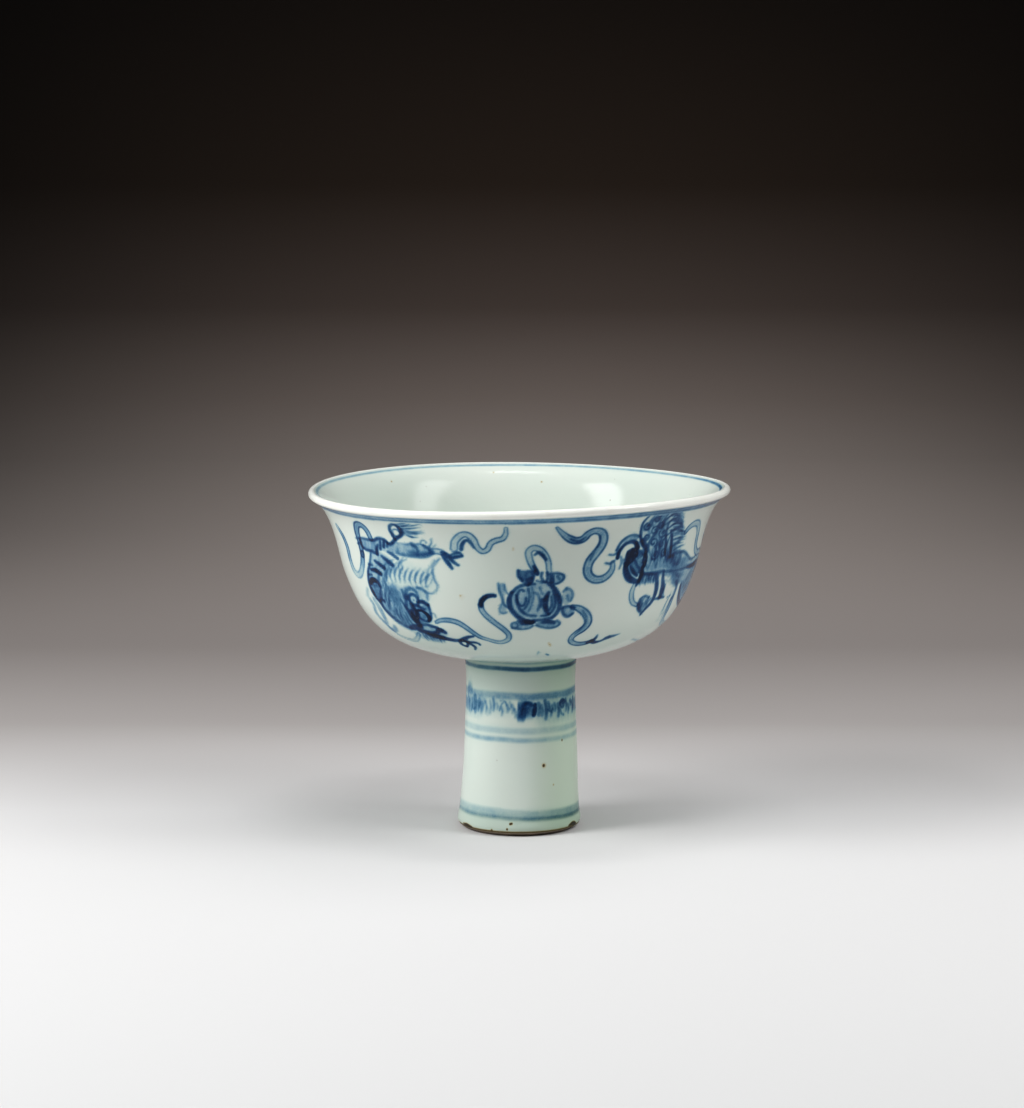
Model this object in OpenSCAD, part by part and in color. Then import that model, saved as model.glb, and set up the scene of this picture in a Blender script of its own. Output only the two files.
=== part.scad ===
// Porcelain stem cup: a flared bowl on a hollow stem, thrown apart, joined with slip,
// lined with cobalt rings and covered with a clear glaze. The foot ring is left bare.
// Millimetres, +Z up, origin at the centre of the foot ring on the table.

/* [Bowl] */
// Diameter over the turned-out lip
rim_d = 155; // [140:1:175]
// Height of the bowl from the joint with the stem to the top of the lip
bowl_h = 62.8; // [56:0.2:72]
// Diameter where the curve of the base runs into the straight wall
belly_d = 130; // [122:1:136]
// Height of that place above the joint
belly_h = 33.5; // [29:0.5:38]
// Lean of the wall from upright, in degrees
wall_lean = 18; // [12:1:22]
// Slope of the underside beside the stem, in degrees
base_slope = 8.5; // [5:0.5:14]
// Lean of the lip from upright, in degrees
lip_flare = 65; // [45:1:70]
// Thickness at the lip, glaze included
lip_t = 2.8; // [2.2:0.1:3.4]
// Thickness beside the stem, glaze included
base_t = 6; // [4.6:0.1:7]

/* [Stem] */
// Height of the joint with the bowl above the table
stem_h = 64.5; // [56:0.1:76]
// Diameter at the joint
neck_d = 41.8; // [41:0.2:44]
// Diameter at the waist
waist_d = 40.6; // [38:0.2:41]
// Height of the waist
waist_h = 50; // [46:0.5:54]
// Largest diameter, low on the foot
foot_d = 45.7; // [44:0.1:50]
// Height of the largest diameter
foot_h = 4; // [3:0.1:5]
// Outer diameter of the flat ring that it stands on
ring_d = 41.2; // [40:0.2:43]
// Width of that ring
ring_w = 3.2; // [2.4:0.1:4]
// Height of the bare bevel outside the ring
bevel_h = 1.4; // [1:0.1:2]
// Diameter at the top of the hollow, inside the clay
hollow_top_d = 29; // [26:0.5:31]
// Height of the widening at the mouth of the hollow
mouth_h = 1.2; // [0.8:0.1:2]

/* [Joint] */
// Thickness of the slip between the bowl and the stem
slip_t = 0.6; // [0.4:0.05:1]
// Width of the slip that was squeezed into the hollow
slip_bead = 1.6; // [1:0.1:2.4]

/* [Glaze] */
// Thickness of the glaze on the bowl and the outside of the stem
glaze_t = 0.4; // [0.3:0.02:0.5]
// Thickness of the wash of glaze in the hollow
wash_t = 0.25; // [0.15:0.05:0.35]

/* [Cobalt lines] */
// Thickness of a brushed line under the glaze
cobalt_t = 0.12; // [0.08:0.02:0.16]
// Clearance between a brushed line and the clay and glaze round it
line_gap = 0.05; // [0.03:0.01:0.06]
// Width of the line inside the lip
inner_line_w = 1.1; // [0.8:0.1:1.6]
// Distance of that line in from the lip's outer edge
inner_line_in = 2.2; // [2:0.1:3]
// Depth of the upper line outside the lip, below the lip's top
upper_line_drop = 3.1; // [3:0.1:3.3]
// Depth of the lower line outside the lip, below the lip's top
lower_line_drop = 4.1; // [4.1:0.1:5.4]
// Width of the two lines outside the lip
rim_line_w = 0.7; // [0.5:0.1:0.7]
// Depth of the line round the top of the stem, below the joint
neck_line_drop = 1.7; // [0.8:0.1:2.5]
// Width of that line
neck_line_w = 1.5; // [1:0.1:2]
// Height of the line over the scroll border
border_line_h = 50.7; // [49:0.1:54]
// Width of that line
border_line_w = 2.2; // [1.6:0.1:2.6]
// Height of the upper of the pair of lines under the border
pair_upper_h = 38.3; // [37:0.1:42]
// Height of the lower of the pair
pair_lower_h = 34.9; // [33:0.1:36]
// Width of each line of the pair
pair_line_w = 1.5; // [1:0.1:1.8]
// Height of the line round the foot
foot_line_h = 6; // [5:0.1:9]
// Width of that line
foot_line_w = 4; // [2:0.1:4.5]

/* [Hidden] */
$fn = 160;

clay = [0.90, 0.87, 0.81];
slip_clay = [0.86, 0.82, 0.74];
clear_glaze = [0.86, 0.91, 0.89, 0.35];
cobalt = [0.16, 0.30, 0.58];

base_steps = 36;
wall_steps = 24;
lip_steps = 14;
floor_steps = 12;
stem_steps = 22;
// Fullness of the curves, as shares of the distance between their ends
base_fullness = 0.52;
belly_fullness = 0.40;
wall_fullness = 0.25;
flare_fullness = 0.30;
// Shares of the stem's spread and height that shape its taper
foot_pull = 0.50;
waist_pull = 0.28;
waist_reach = 0.43;
neck_reach = 0.35;

rim_z = stem_h + bowl_h;
lip_r = lip_t / 2;
lip_centre = [rim_d / 2 - lip_r, rim_z - lip_r];
neck_r = neck_d / 2;
waist_r = waist_d / 2;
foot_r = foot_d / 2;
ring_r = ring_d / 2;
hollow_r = ring_r - ring_w;
hollow_top_r = hollow_top_d / 2;
spread = foot_r - waist_r;
// A cut wide and tall enough to pass the whole cup
beyond = rim_d + rim_z;

// Curves
function bezier(p, t) = let (u = 1 - t)
    u*u*u*p[0] + 3*u*u*t*p[1] + 3*u*t*t*p[2] + t*t*t*p[3];
function bezier_way(p, t) = let (u = 1 - t)
    3*u*u*(p[1] - p[0]) + 6*u*t*(p[2] - p[1]) + 3*t*t*(p[3] - p[2]);
function along(p, steps, first = 0) = [for (i = [first:steps]) bezier(p, i / steps)];
function ways(p, steps, first = 0) = [for (i = [first:steps]) bezier_way(p, i / steps)];
function unit(v) = v / norm(v);
function backwards(list) = [for (i = [len(list) - 1:-1:0]) list[i]];
function leaning(angle) = [sin(angle), cos(angle)];

// Outer face of the bowl: base curve from the joint to the belly, then the wall to the lip
joint_at = [neck_r, stem_h];
belly_at = [belly_d / 2, stem_h + belly_h];
lip_at = lip_centre + lip_r * [cos(lip_flare), -sin(lip_flare)];
base_span = norm(belly_at - joint_at);
wall_span = norm(lip_at - belly_at);
base_curve = [joint_at,
              joint_at + base_fullness * base_span * [cos(base_slope), sin(base_slope)],
              belly_at - belly_fullness * base_span * leaning(wall_lean),
              belly_at];
wall_curve = [belly_at,
              belly_at + wall_fullness * wall_span * leaning(wall_lean),
              lip_at - flare_fullness * wall_span * leaning(lip_flare),
              lip_at];
face = concat(along(base_curve, base_steps), along(wall_curve, wall_steps, 1));
face_ways = concat(ways(base_curve, base_steps), ways(wall_curve, wall_steps, 1));
last = len(face) - 1;

// Inward direction, and wall thickness from the joint (0) to the lip (last)
function inward(i) = let (w = unit(face_ways[i])) [-w[1], w[0]];
function wall_t(i) = lip_t + (base_t - lip_t) * pow(1 - i / last, 2);
// The bowl's face moved in by a depth, or by the wall less a depth
function outer_layer(depth) = [for (i = [0:last]) face[i] + depth * inward(i)];
function inner_layer(depth) = [for (i = [0:last]) face[i] + (wall_t(i) - depth) * inward(i)];

// Bowed floor from the axis to the start of the inner layer, which it meets smoothly
function floor_z(edge, r) = edge[1] - tan(base_slope) * (edge[0]*edge[0] - r*r) / (2 * edge[0]);
function floor_layer(edge) = [for (i = [0:floor_steps - 1])
    let (r = edge[0] * i / floor_steps) [r, floor_z(edge, r)]];
// Half round end of the lip, from its outer to its inner side
function lip_round(r) = [for (i = [0:lip_steps]) let (a = 180 * i / lip_steps - lip_flare)
    lip_centre + r * [cos(a), sin(a)]];

// Plane that the bowl's clay sits on, and the stem's top under the slip
seat_z = stem_h + glaze_t * cos(base_slope);
stem_top_z = seat_z - slip_t;
seat_r = neck_r - glaze_t * sin(base_slope);

// Outer face of the stem: taper from the foot to the waist, then out to the neck
foot_at = [foot_r, foot_h];
waist_at = [waist_r, waist_h];
waist_way = unit([-waist_pull * spread, waist_reach * (waist_h - foot_h)]);
neck_span = stem_h - waist_h;
taper_curve = [foot_at,
               foot_at + [-foot_pull * spread, foot_h],
               waist_at - waist_reach * (waist_h - foot_h) * waist_way,
               waist_at];
neck_curve = [waist_at,
              waist_at + neck_reach * neck_span * waist_way,
              joint_at - [neck_r - waist_r, neck_reach * neck_span],
              joint_at];
stem_face = concat(along(taper_curve, stem_steps), along(neck_curve, stem_steps, 1));
// The stem's clay ends at its top plane, so its outline takes the face up to there
stem_low_face = [for (p = stem_face) if (p[1] < stem_top_z - slip_t) p];
function moved_in(points, d) = [for (p = points) [p[0] - d, p[1]]];
bevel_at = [foot_r - glaze_t, bevel_h];

// Radius of the clay at a height in the hollow, above the widened mouth
function hollow_at(z) = hollow_r + (hollow_top_r - hollow_r) * (z - mouth_h) / (stem_top_z - mouth_h);

// Flat outlines, turned into solids below
module bowl_clay_outline() {
    clay_floor = inner_layer(glaze_t);
    polygon(concat([[0, seat_z]], outer_layer(glaze_t), lip_round(lip_r - glaze_t),
                   backwards(clay_floor), backwards(floor_layer(clay_floor[0]))));
}

module outer_coat_outline(depth_from, depth_to) {
    polygon(concat(outer_layer(depth_from), backwards(outer_layer(depth_to))));
}

module inner_coat_outline(depth_from, depth_to) {
    top = inner_layer(depth_from);
    under = inner_layer(depth_to);
    polygon(concat(floor_layer(top[0]), top, backwards(under), backwards(floor_layer(under[0]))));
}

module stem_coat_outline(depth_from, depth_to) {
    polygon(concat([[bevel_at[0] + glaze_t - depth_to, bevel_h]],
                   [[foot_r - depth_from, (bevel_h + foot_h) / 2]],
                   moved_in(stem_face, depth_from),
                   [[seat_r, seat_z], [neck_r - depth_to, seat_z]],
                   backwards(moved_in(stem_face, depth_to))));
}

module stem_clay_outline() {
    polygon(concat([[hollow_r, 0], [ring_r, 0], bevel_at], moved_in(stem_low_face, glaze_t),
                   [[neck_r - glaze_t, stem_top_z], [hollow_top_r, stem_top_z],
                    [hollow_at(mouth_h), mouth_h]]));
}

// Part of the cup between two heights, or between two radii, with spare room on both sides
module between_heights(low, width, spare) {
    translate([0, low - spare]) square([beyond, width + 2 * spare]);
}

module between_radii(inside, width, spare) {
    translate([inside - spare, 0]) square([width + 2 * spare, beyond]);
}

// Where each brushed line lies
module inner_rim_place(spare = 0) {
    between_radii(rim_d / 2 - inner_line_in - inner_line_w, inner_line_w, spare);
}

module upper_rim_place(spare = 0) {
    between_heights(rim_z - upper_line_drop - rim_line_w, rim_line_w, spare);
}

module lower_rim_place(spare = 0) {
    between_heights(rim_z - lower_line_drop - rim_line_w, rim_line_w, spare);
}

module neck_place(spare = 0) {
    between_heights(stem_h - neck_line_drop - neck_line_w, neck_line_w, spare);
}

module border_place(spare = 0) {
    between_heights(border_line_h, border_line_w, spare);
}

module pair_upper_place(spare = 0) {
    between_heights(pair_upper_h, pair_line_w, spare);
}

module pair_lower_place(spare = 0) {
    between_heights(pair_lower_h, pair_line_w, spare);
}

module foot_place(spare = 0) {
    between_heights(foot_line_h, foot_line_w, spare);
}

// A brushed line lies in its place, one clearance off the clay
line_low = glaze_t - line_gap;
line_top = line_low - cobalt_t;
module bowl_line() {
    intersection() {
        outer_coat_outline(line_top, line_low);
        children();
    }
}

module lip_line() {
    intersection() {
        inner_coat_outline(line_top, line_low);
        children();
    }
}

module stem_line() {
    intersection() {
        stem_coat_outline(line_top, line_low);
        children();
    }
}

// The glaze is open for a line from the clay to one clearance over the line
room_top = line_top - line_gap;
module bowl_line_room() {
    intersection() {
        outer_coat_outline(room_top, glaze_t);
        children();
    }
}

module lip_line_room() {
    intersection() {
        inner_coat_outline(room_top, glaze_t);
        children();
    }
}

module stem_line_room() {
    intersection() {
        stem_coat_outline(room_top, glaze_t);
        children();
    }
}

// Clay
module bowl_body() {
    color(clay) rotate_extrude() bowl_clay_outline();
}

module stem_body() {
    color(clay) rotate_extrude() stem_clay_outline();
}

// Slip between the bowl and the stem, with the bead that was squeezed into the hollow
module luting_slip() {
    color(slip_clay) rotate_extrude() polygon([
        [hollow_top_r - slip_bead, seat_z], [hollow_top_r, stem_top_z],
        [neck_r - glaze_t, stem_top_z], [neck_r - glaze_t, seat_z]]);
}

// Glaze
module bowl_outer_glaze() {
    color(clear_glaze) rotate_extrude() difference() {
        outer_coat_outline(0, glaze_t);
        bowl_line_room() upper_rim_place(line_gap);
        bowl_line_room() lower_rim_place(line_gap);
    }
}

module bowl_inner_glaze() {
    color(clear_glaze) rotate_extrude() difference() {
        inner_coat_outline(0, glaze_t);
        lip_line_room() inner_rim_place(line_gap);
    }
}

module lip_glaze() {
    color(clear_glaze) rotate_extrude()
        polygon(concat(lip_round(lip_r), backwards(lip_round(lip_r - glaze_t))));
}

module stem_outer_glaze() {
    color(clear_glaze) rotate_extrude() difference() {
        stem_coat_outline(0, glaze_t);
        stem_line_room() neck_place(line_gap);
        stem_line_room() border_place(line_gap);
        stem_line_room() pair_upper_place(line_gap);
        stem_line_room() pair_lower_place(line_gap);
        stem_line_room() foot_place(line_gap);
    }
}

// Thin wash over the wall of the hollow, from above its mouth to the bead of slip
module stem_inner_glaze() {
    color(clear_glaze) rotate_extrude() polygon([
        [hollow_at(mouth_h), mouth_h], [hollow_at(mouth_h + wash_t) - wash_t, mouth_h + wash_t],
        [hollow_top_r - wash_t, stem_top_z], [hollow_top_r, stem_top_z]]);
}

// Cobalt
module inner_rim_line() {
    color(cobalt) rotate_extrude() lip_line() inner_rim_place();
}

module outer_rim_line_upper() {
    color(cobalt) rotate_extrude() bowl_line() upper_rim_place();
}

module outer_rim_line_lower() {
    color(cobalt) rotate_extrude() bowl_line() lower_rim_place();
}

module neck_line() {
    color(cobalt) rotate_extrude() stem_line() neck_place();
}

module border_line() {
    color(cobalt) rotate_extrude() stem_line() border_place();
}

module stem_line_upper() {
    color(cobalt) rotate_extrude() stem_line() pair_upper_place();
}

module stem_line_lower() {
    color(cobalt) rotate_extrude() stem_line() pair_lower_place();
}

module foot_line() {
    color(cobalt) rotate_extrude() stem_line() foot_place();
}

bowl_body();
stem_body();
luting_slip();
bowl_outer_glaze();
bowl_inner_glaze();
lip_glaze();
stem_outer_glaze();
stem_inner_glaze();
inner_rim_line();
outer_rim_line_upper();
outer_rim_line_lower();
neck_line();
border_line();
stem_line_upper();
stem_line_lower();
foot_line();
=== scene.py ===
"""Stem cup: a porcelain bowl on a hollow stem, with lions and brocade balls in cobalt under the glaze."""
import math

import bpy
import numpy as np
from bpy.props import FloatProperty, FloatVectorProperty, PointerProperty
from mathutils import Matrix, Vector


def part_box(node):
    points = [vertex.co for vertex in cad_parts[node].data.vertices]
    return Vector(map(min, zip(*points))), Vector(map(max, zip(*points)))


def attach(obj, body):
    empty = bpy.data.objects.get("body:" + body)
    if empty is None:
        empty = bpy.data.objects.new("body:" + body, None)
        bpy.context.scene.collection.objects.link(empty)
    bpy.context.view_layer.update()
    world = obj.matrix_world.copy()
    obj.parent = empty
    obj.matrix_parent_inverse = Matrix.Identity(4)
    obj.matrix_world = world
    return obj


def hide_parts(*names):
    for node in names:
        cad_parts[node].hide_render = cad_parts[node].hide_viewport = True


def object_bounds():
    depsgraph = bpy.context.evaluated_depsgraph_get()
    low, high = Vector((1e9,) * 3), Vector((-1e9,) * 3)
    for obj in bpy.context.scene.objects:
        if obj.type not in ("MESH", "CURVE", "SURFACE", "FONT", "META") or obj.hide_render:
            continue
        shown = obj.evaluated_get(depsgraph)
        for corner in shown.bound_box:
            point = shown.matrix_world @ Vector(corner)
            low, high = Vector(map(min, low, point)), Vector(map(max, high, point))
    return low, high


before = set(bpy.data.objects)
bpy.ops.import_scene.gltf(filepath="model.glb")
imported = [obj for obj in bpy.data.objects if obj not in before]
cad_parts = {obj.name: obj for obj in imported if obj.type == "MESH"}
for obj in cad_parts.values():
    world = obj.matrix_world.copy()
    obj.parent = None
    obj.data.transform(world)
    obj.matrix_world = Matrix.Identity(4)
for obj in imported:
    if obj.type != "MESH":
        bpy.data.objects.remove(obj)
cad_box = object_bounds()

bl_info = {
    "name": "Stem cup",
    "version": (1, 0, 0),
    "blender": (4, 5, 0),
    "location": "3D View > Sidebar > Stem cup",
    "description": "Builds a painted porcelain stem cup round its CAD frame",
    "category": "Object",
}

# Sizes, in metres where nothing else is said

MM = 1000                               # mm in a metre
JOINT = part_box("luting_slip")[1].z      # where the bowl stands on the stem
RIM = cad_box[1].z
BOWL_ROUND = 2 * math.pi * 62           # mm round the bowl, as the painter lays out the figures
STEM_ROUND = 2 * math.pi * 20.5         # mm round the stem
HALF_ROUND = BOWL_ROUND / 2             # the figures come twice
FULL_LOAD = 1.5                         # cobalt past which one stroke over another adds nothing
STROKE_STEP, OUTLINE_STEP = 0.22, 0.4   # mm between the points of a stroke and of a patch
BLED = 0.08                             # share of the cobalt that creeps into the glaze round a stroke

LEAN_TOP = 0.03                         # height from which on the stem leans in full
TILT_SETS_IN = (-0.012, 0.006)          # heights over the joint between which the bowl's tilt sets in
WAVE_START = 0.28                       # radians by which the rim's wave is turned
WAVE_MIDDLE = 0.37                      # sine at which the waving rim keeps its height

TURN = 1536                             # lattice columns round a turned piece
CELL = 8                                # lattice cells along the side of a face that isn't split
FACE_LENGTH = 0.0022                    # along a run, for a face that isn't split
FACE_BEND = 9                           # degrees that a run bends within such a face
SPLIT_LIMIT = 0.12                      # a face is split where the paint in it bends by more than this
FINE_SPLIT_LIMIT = 0.03                 # the same where the paint is pale and its edges are fine
SHARP_CORNER = 32                       # degrees of a corner between two runs
PROFILE_STEP = 0.00016                  # between the points of a smooth profile
SAME_CORNER = 5e-6                      # corners of a node that are nearer than this are one
ON_AXIS = 1e-6
WELD = 4e-7                             # points of a finished skin that are nearer than this are merged


def tint(r, g, b):
    """A colour given as it looks on a screen, 0 to 255, in the linear form that materials take."""
    return tuple(((c / 255 + 0.055) / 1.055) ** 2.4 if c > 10 else c / 3294.6 for c in (r, g, b))


# Node trees

class Wire:
    """An output socket of a node. Sums and products of wires add the Math nodes that work them out."""

    def __init__(self, socket):
        self.socket = socket
        self.tree = socket.id_data

    @staticmethod
    def node(tree, kind, settings=None, sockets=None):
        """A node of this type: its settings are set first, then its sockets by name or number."""
        made = tree.nodes.new(kind)
        for key, value in (settings or {}).items():
            if key == "stops":
                Wire.set_stops(made.color_ramp, value)
            else:
                setattr(made, key, value)
        for key, value in (sockets or {}).items():
            if isinstance(value, Wire):
                tree.links.new(value.socket, made.inputs[key])
            else:
                made.inputs[key].default_value = value
        return made

    @staticmethod
    def set_stops(ramp, stops):
        """Gives a colour ramp these stops, each a place and a colour."""
        for at, colour in stops[1:-1]:
            ramp.elements.new(at).color = (*colour, 1)
        for element, (at, colour) in ((ramp.elements[0], stops[0]), (ramp.elements[-1], stops[-1])):
            element.position = at
            element.color = (*colour, 1)

    def maths(self, operation, *others):
        sockets = dict(enumerate((self, *others)))
        made = Wire.node(self.tree, "ShaderNodeMath", {"operation": operation}, sockets)
        return Wire(made.outputs[0])

    def swapped(self, operation, other):
        made = Wire.node(self.tree, "ShaderNodeMath", {"operation": operation}, {0: other, 1: self})
        return Wire(made.outputs[0])

    def __add__(self, other):
        return self.maths("ADD", other)

    def __radd__(self, other):
        return self.swapped("ADD", other)

    def __sub__(self, other):
        return self.maths("SUBTRACT", other)

    def __rsub__(self, other):
        return self.swapped("SUBTRACT", other)

    def __mul__(self, other):
        return self.maths("MULTIPLY", other)

    def __rmul__(self, other):
        return self.swapped("MULTIPLY", other)

    def __truediv__(self, other):
        return self.maths("DIVIDE", other)

    def __rtruediv__(self, other):
        return self.swapped("DIVIDE", other)

    def ease(self, low, high):
        """Rises smoothly from 0 where the wire is low to 1 where it is high."""
        made = Wire.node(self.tree, "ShaderNodeMapRange", {"interpolation_type": "SMOOTHSTEP"},
                         {0: self, 1: low, 2: high, 3: 0.0, 4: 1.0})
        return Wire(made.outputs[0])


class Finish:
    """A material with one Principled shader, and the wires that its patterns start from."""

    def __init__(self, name, **constants):
        self.material = bpy.data.materials.new(name)
        self.material.use_nodes = True
        self.tree = self.material.node_tree
        self.shader = self.tree.nodes["Principled BSDF"]
        for key, value in constants.items():
            self.shader.inputs[key.replace("_", " ")].default_value = value
        self.place = Wire(self.node("ShaderNodeTexCoord").outputs["Object"])
        apart = self.node("ShaderNodeSeparateXYZ", None, {0: self.place})
        self.x, self.y, self.z = (Wire(socket) for socket in apart.outputs)

    def node(self, kind, settings=None, sockets=None):
        return Wire.node(self.tree, kind, settings, sockets)

    def attribute(self, name):
        return Wire(self.node("ShaderNodeAttribute", {"attribute_name": name}).outputs["Fac"])

    def noise(self, size_mm, detail=2.0, stretch=None):
        """Noise of about 0 to 1 whose lumps are this size."""
        place = self.place
        if stretch:
            place = Wire(self.node("ShaderNodeMapping", None, {"Vector": place, "Scale": stretch}).outputs[0])
        sockets = {"Vector": place, "Scale": MM / size_mm, "Detail": detail}
        return Wire(self.node("ShaderNodeTexNoise", None, sockets).outputs[0])

    def dots(self, spacing_mm):
        """Distance to the nearest of scattered dots, in parts of their spacing."""
        made = self.node("ShaderNodeTexVoronoi", None, {"Vector": self.place, "Scale": MM / spacing_mm})
        return Wire(made.outputs["Distance"])

    def mix(self, share, a, b, blend="MIX"):
        made = self.node("ShaderNodeMix", {"data_type": "RGBA", "blend_type": blend}, {0: share})
        # the node has other sockets called A and B too, so the two for colours go by number
        for slot, value in ((6, a), (7, b)):
            if isinstance(value, Wire):
                self.tree.links.new(value.socket, made.inputs[slot])
            else:
                made.inputs[slot].default_value = (*value, 1)
        return Wire(made.outputs[2])

    def ramp(self, share, stops):
        return Wire(self.node("ShaderNodeValToRGB", {"stops": stops}, {0: share}).outputs[0])

    def feed(self, **wires):
        for key, wire in wires.items():
            self.tree.links.new(wire.socket, self.shader.inputs[key.replace("_", " ")])

    def bump(self, height, depth_mm):
        sockets = {"Height": height, "Distance": depth_mm / MM, "Strength": 1.0}
        made = self.node("ShaderNodeBump", None, sockets)
        self.tree.links.new(made.outputs[0], self.shader.inputs["Normal"])


# Turned pieces

def half_section(node):
    """Corners (radius, height) of a turned node's half section, anticlockwise, and whether they close."""
    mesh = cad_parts[node].data
    co = np.empty(len(mesh.vertices) * 3)
    mesh.vertices.foreach_get("co", co)
    co = co.reshape(-1, 3)
    flat = np.c_[np.hypot(co[:, 0], co[:, 1]), co[:, 2]]
    spots, at = np.unique(np.round(flat, 6), axis=0, return_inverse=True)
    same = (np.abs(spots[:, None] - spots[None]).max(2) < SAME_CORNER).argmax(1)
    mesh.calc_loop_triangles()
    tri = np.empty(len(mesh.loop_triangles) * 3, np.int32)
    mesh.loop_triangles.foreach_get("vertices", tri)
    tri = same[at.ravel()[tri]].reshape(-1, 3)
    beside = {}
    for a, b in np.unique(np.vstack([tri[:, :2], tri[:, 1:], tri[:, ::2]]), axis=0):
        if a != b:
            beside.setdefault(a, set()).add(b)
            beside.setdefault(b, set()).add(a)
    ends = [k for k in beside if len(beside[k]) == 1]
    walk = [ends[0] if ends else next(iter(beside))]
    while True:
        onward = [k for k in beside[walk[-1]] if k not in walk]
        if not onward:
            break
        walk.append(onward[0])
    if len(walk) != len(beside):
        raise RuntimeError(f"the half section of {node} isn't one line")
    points = spots[walk]
    if ends:
        # a flat end whose faces have no corner on the axis is carried on to it
        first, last = ([(0, end[1])] if end[0] > ON_AXIS else np.empty((0, 2)) for end in points[[0, -1]])
        points = np.vstack([first, points, last])
    after = np.roll(points, -1, 0)
    if (points[:, 0] * after[:, 1] - after[:, 0] * points[:, 1]).sum() < 0:
        points = points[::-1]
    return points, not ends


def smooth_runs(points, closed):
    """Splits a half section at its sharp corners into smooth lines, the longest first."""
    if closed:
        points = np.vstack([points, points[:1]])
    d = np.diff(points, axis=0)
    heading = np.arctan2(d[:, 1], d[:, 0])
    turn = np.abs((np.diff(np.r_[heading[-1:], heading]) + np.pi) % (2 * np.pi) - np.pi)
    sharp = turn > math.radians(SHARP_CORNER)
    corners = [i for i in range(1, len(d)) if sharp[i]]
    if closed and corners:
        start = corners[0]
        points = np.vstack([points[start:-1], points[:start + 1]])
        corners = [i - start for i in corners[1:]] + ([len(d) - start] if sharp[0] else [])
    cuts = [0, *corners, len(points) - 1]
    runs = [smooth_line(points[a:b + 1]) for a, b in zip(cuts, cuts[1:])]
    first = max(range(len(runs)), key=lambda i: measure(runs[i])[-1])
    return runs[first:] + runs[:first]


def measure(line):
    """Length along a line at each of its points."""
    return np.r_[0, np.cumsum(np.linalg.norm(np.diff(line, axis=0), axis=1))]


def smooth_line(points):
    """Close points of a natural cubic spline through the given ones."""
    t = measure(points)
    n = len(points)
    if n < 3:
        return np.linspace(points[0], points[-1], 2)
    h = np.diff(t)
    a = np.eye(n)
    b = np.zeros((n, 2))
    slope = np.diff(points, axis=0) / h[:, None]
    for i in range(1, n - 1):
        a[i, i - 1:i + 2] = h[i - 1], 2 * (h[i - 1] + h[i]), h[i]
        b[i] = 6 * (slope[i] - slope[i - 1])
    m = np.linalg.solve(a, b)
    at = np.linspace(0, t[-1], max(n, int(t[-1] / PROFILE_STEP)))
    i = np.clip(np.searchsorted(t, at, "right") - 1, 0, n - 2)
    u, w, k = (at - t[i])[:, None], (t[i + 1] - at)[:, None], h[i][:, None]
    bent = (m[i] * w ** 3 + m[i + 1] * u ** 3) / (6 * k)
    return bent + (points[i] / k - m[i] * k / 6) * w + (points[i + 1] / k - m[i + 1] * k / 6) * u


def rows_for(run):
    """Lattice rows along a run: faces of the usual length, or shorter where the run bends."""
    d = np.diff(run, axis=0)
    heading = np.unwrap(np.arctan2(d[:, 1], d[:, 0]))
    bent = np.degrees(np.abs(np.diff(heading)).sum())
    return CELL * max(1, math.ceil(measure(run)[-1] / FACE_LENGTH), math.ceil(bent / FACE_BEND))


def split_cells(rows, values, limit):
    """Squares of a lattice as (rows, columns, size). They are halved while the paint in them departs from a
    blend of their corners by more than the limit."""
    r, c = (k.ravel() for k in np.mgrid[0:rows:CELL, 0:TURN:CELL])
    size, done = CELL, []
    while size > 1 and len(r):
        k = np.arange(size + 1)
        t, s = k / size, 1 - k / size
        bend = np.zeros(len(r))
        for v in values:
            block = v[r[:, None, None] + k[:, None], c[:, None, None] + k]
            blend = (block[:, :1, :1] * s[:, None] * s + block[:, :1, -1:] * s[:, None] * t
                     + block[:, -1:, :1] * t[:, None] * s + block[:, -1:, -1:] * t[:, None] * t)
            bend = np.maximum(bend, np.abs(block - blend).max((1, 2)))
        good = bend <= limit
        done.append((r[good], c[good], size))
        r, c, size = r[~good], c[~good], size // 2
        r, c = np.r_[r, r, r + size, r + size], np.r_[c, c + size, c, c + size]
    return done + [(r, c, size)]


def mark_corners(rows, cells):
    """Marks the lattice points that are corners of squares. Runs share the marks where they meet."""
    used = []
    for n, squares in zip(rows, cells):
        mark = np.zeros((n + 1, TURN + 1), bool)
        for r, c, size in squares:
            for down, over in ((0, 0), (0, size), (size, 0), (size, size)):
                mark[r + down, c + over] = True
        used.append(mark)
    for k, mark in enumerate(used):
        after = used[(k + 1) % len(used)]
        mark[-1] = after[0] = mark[-1] | after[0]
    for mark in used:
        mark[:, 0] |= mark[:, -1]
        mark[:, -1] = mark[:, 0]
    return used


def fill_squares(squares, mark, start):
    """Faces of a run's squares, numbered from start. A square with more points on a side becomes a fan."""
    sides = []
    for r, c, size in squares:
        step = np.arange(size)
        side_r = r[:, None] + np.concatenate([0 * step, step, size + 0 * step, size - step])
        side_c = c[:, None] + np.concatenate([step, size + 0 * step, size - step, 0 * step])
        sides.append((side_r, side_c, mark[side_r, side_c]))
    for (r, c, size), (_, _, on) in zip(squares, sides):
        fan = on.sum(1) > 4
        mark[r[fan] + size // 2, c[fan] + size // 2] = True
    number = np.full(mark.shape, -1)
    number[mark] = start + np.arange(mark.sum())
    faces = []
    for (r, c, size), (side_r, side_c, on) in zip(squares, sides):
        around = number[side_r, side_c]
        plain = on.sum(1) == 4
        faces += around[plain][:, ::size].tolist()
        for i in np.flatnonzero(~plain):
            ring = around[i][on[i]]
            hub = number[r[i] + size // 2, c[i] + size // 2]
            faces += np.c_[ring, np.roll(ring, -1), np.full(len(ring), hub)].tolist()
    return faces


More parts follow.
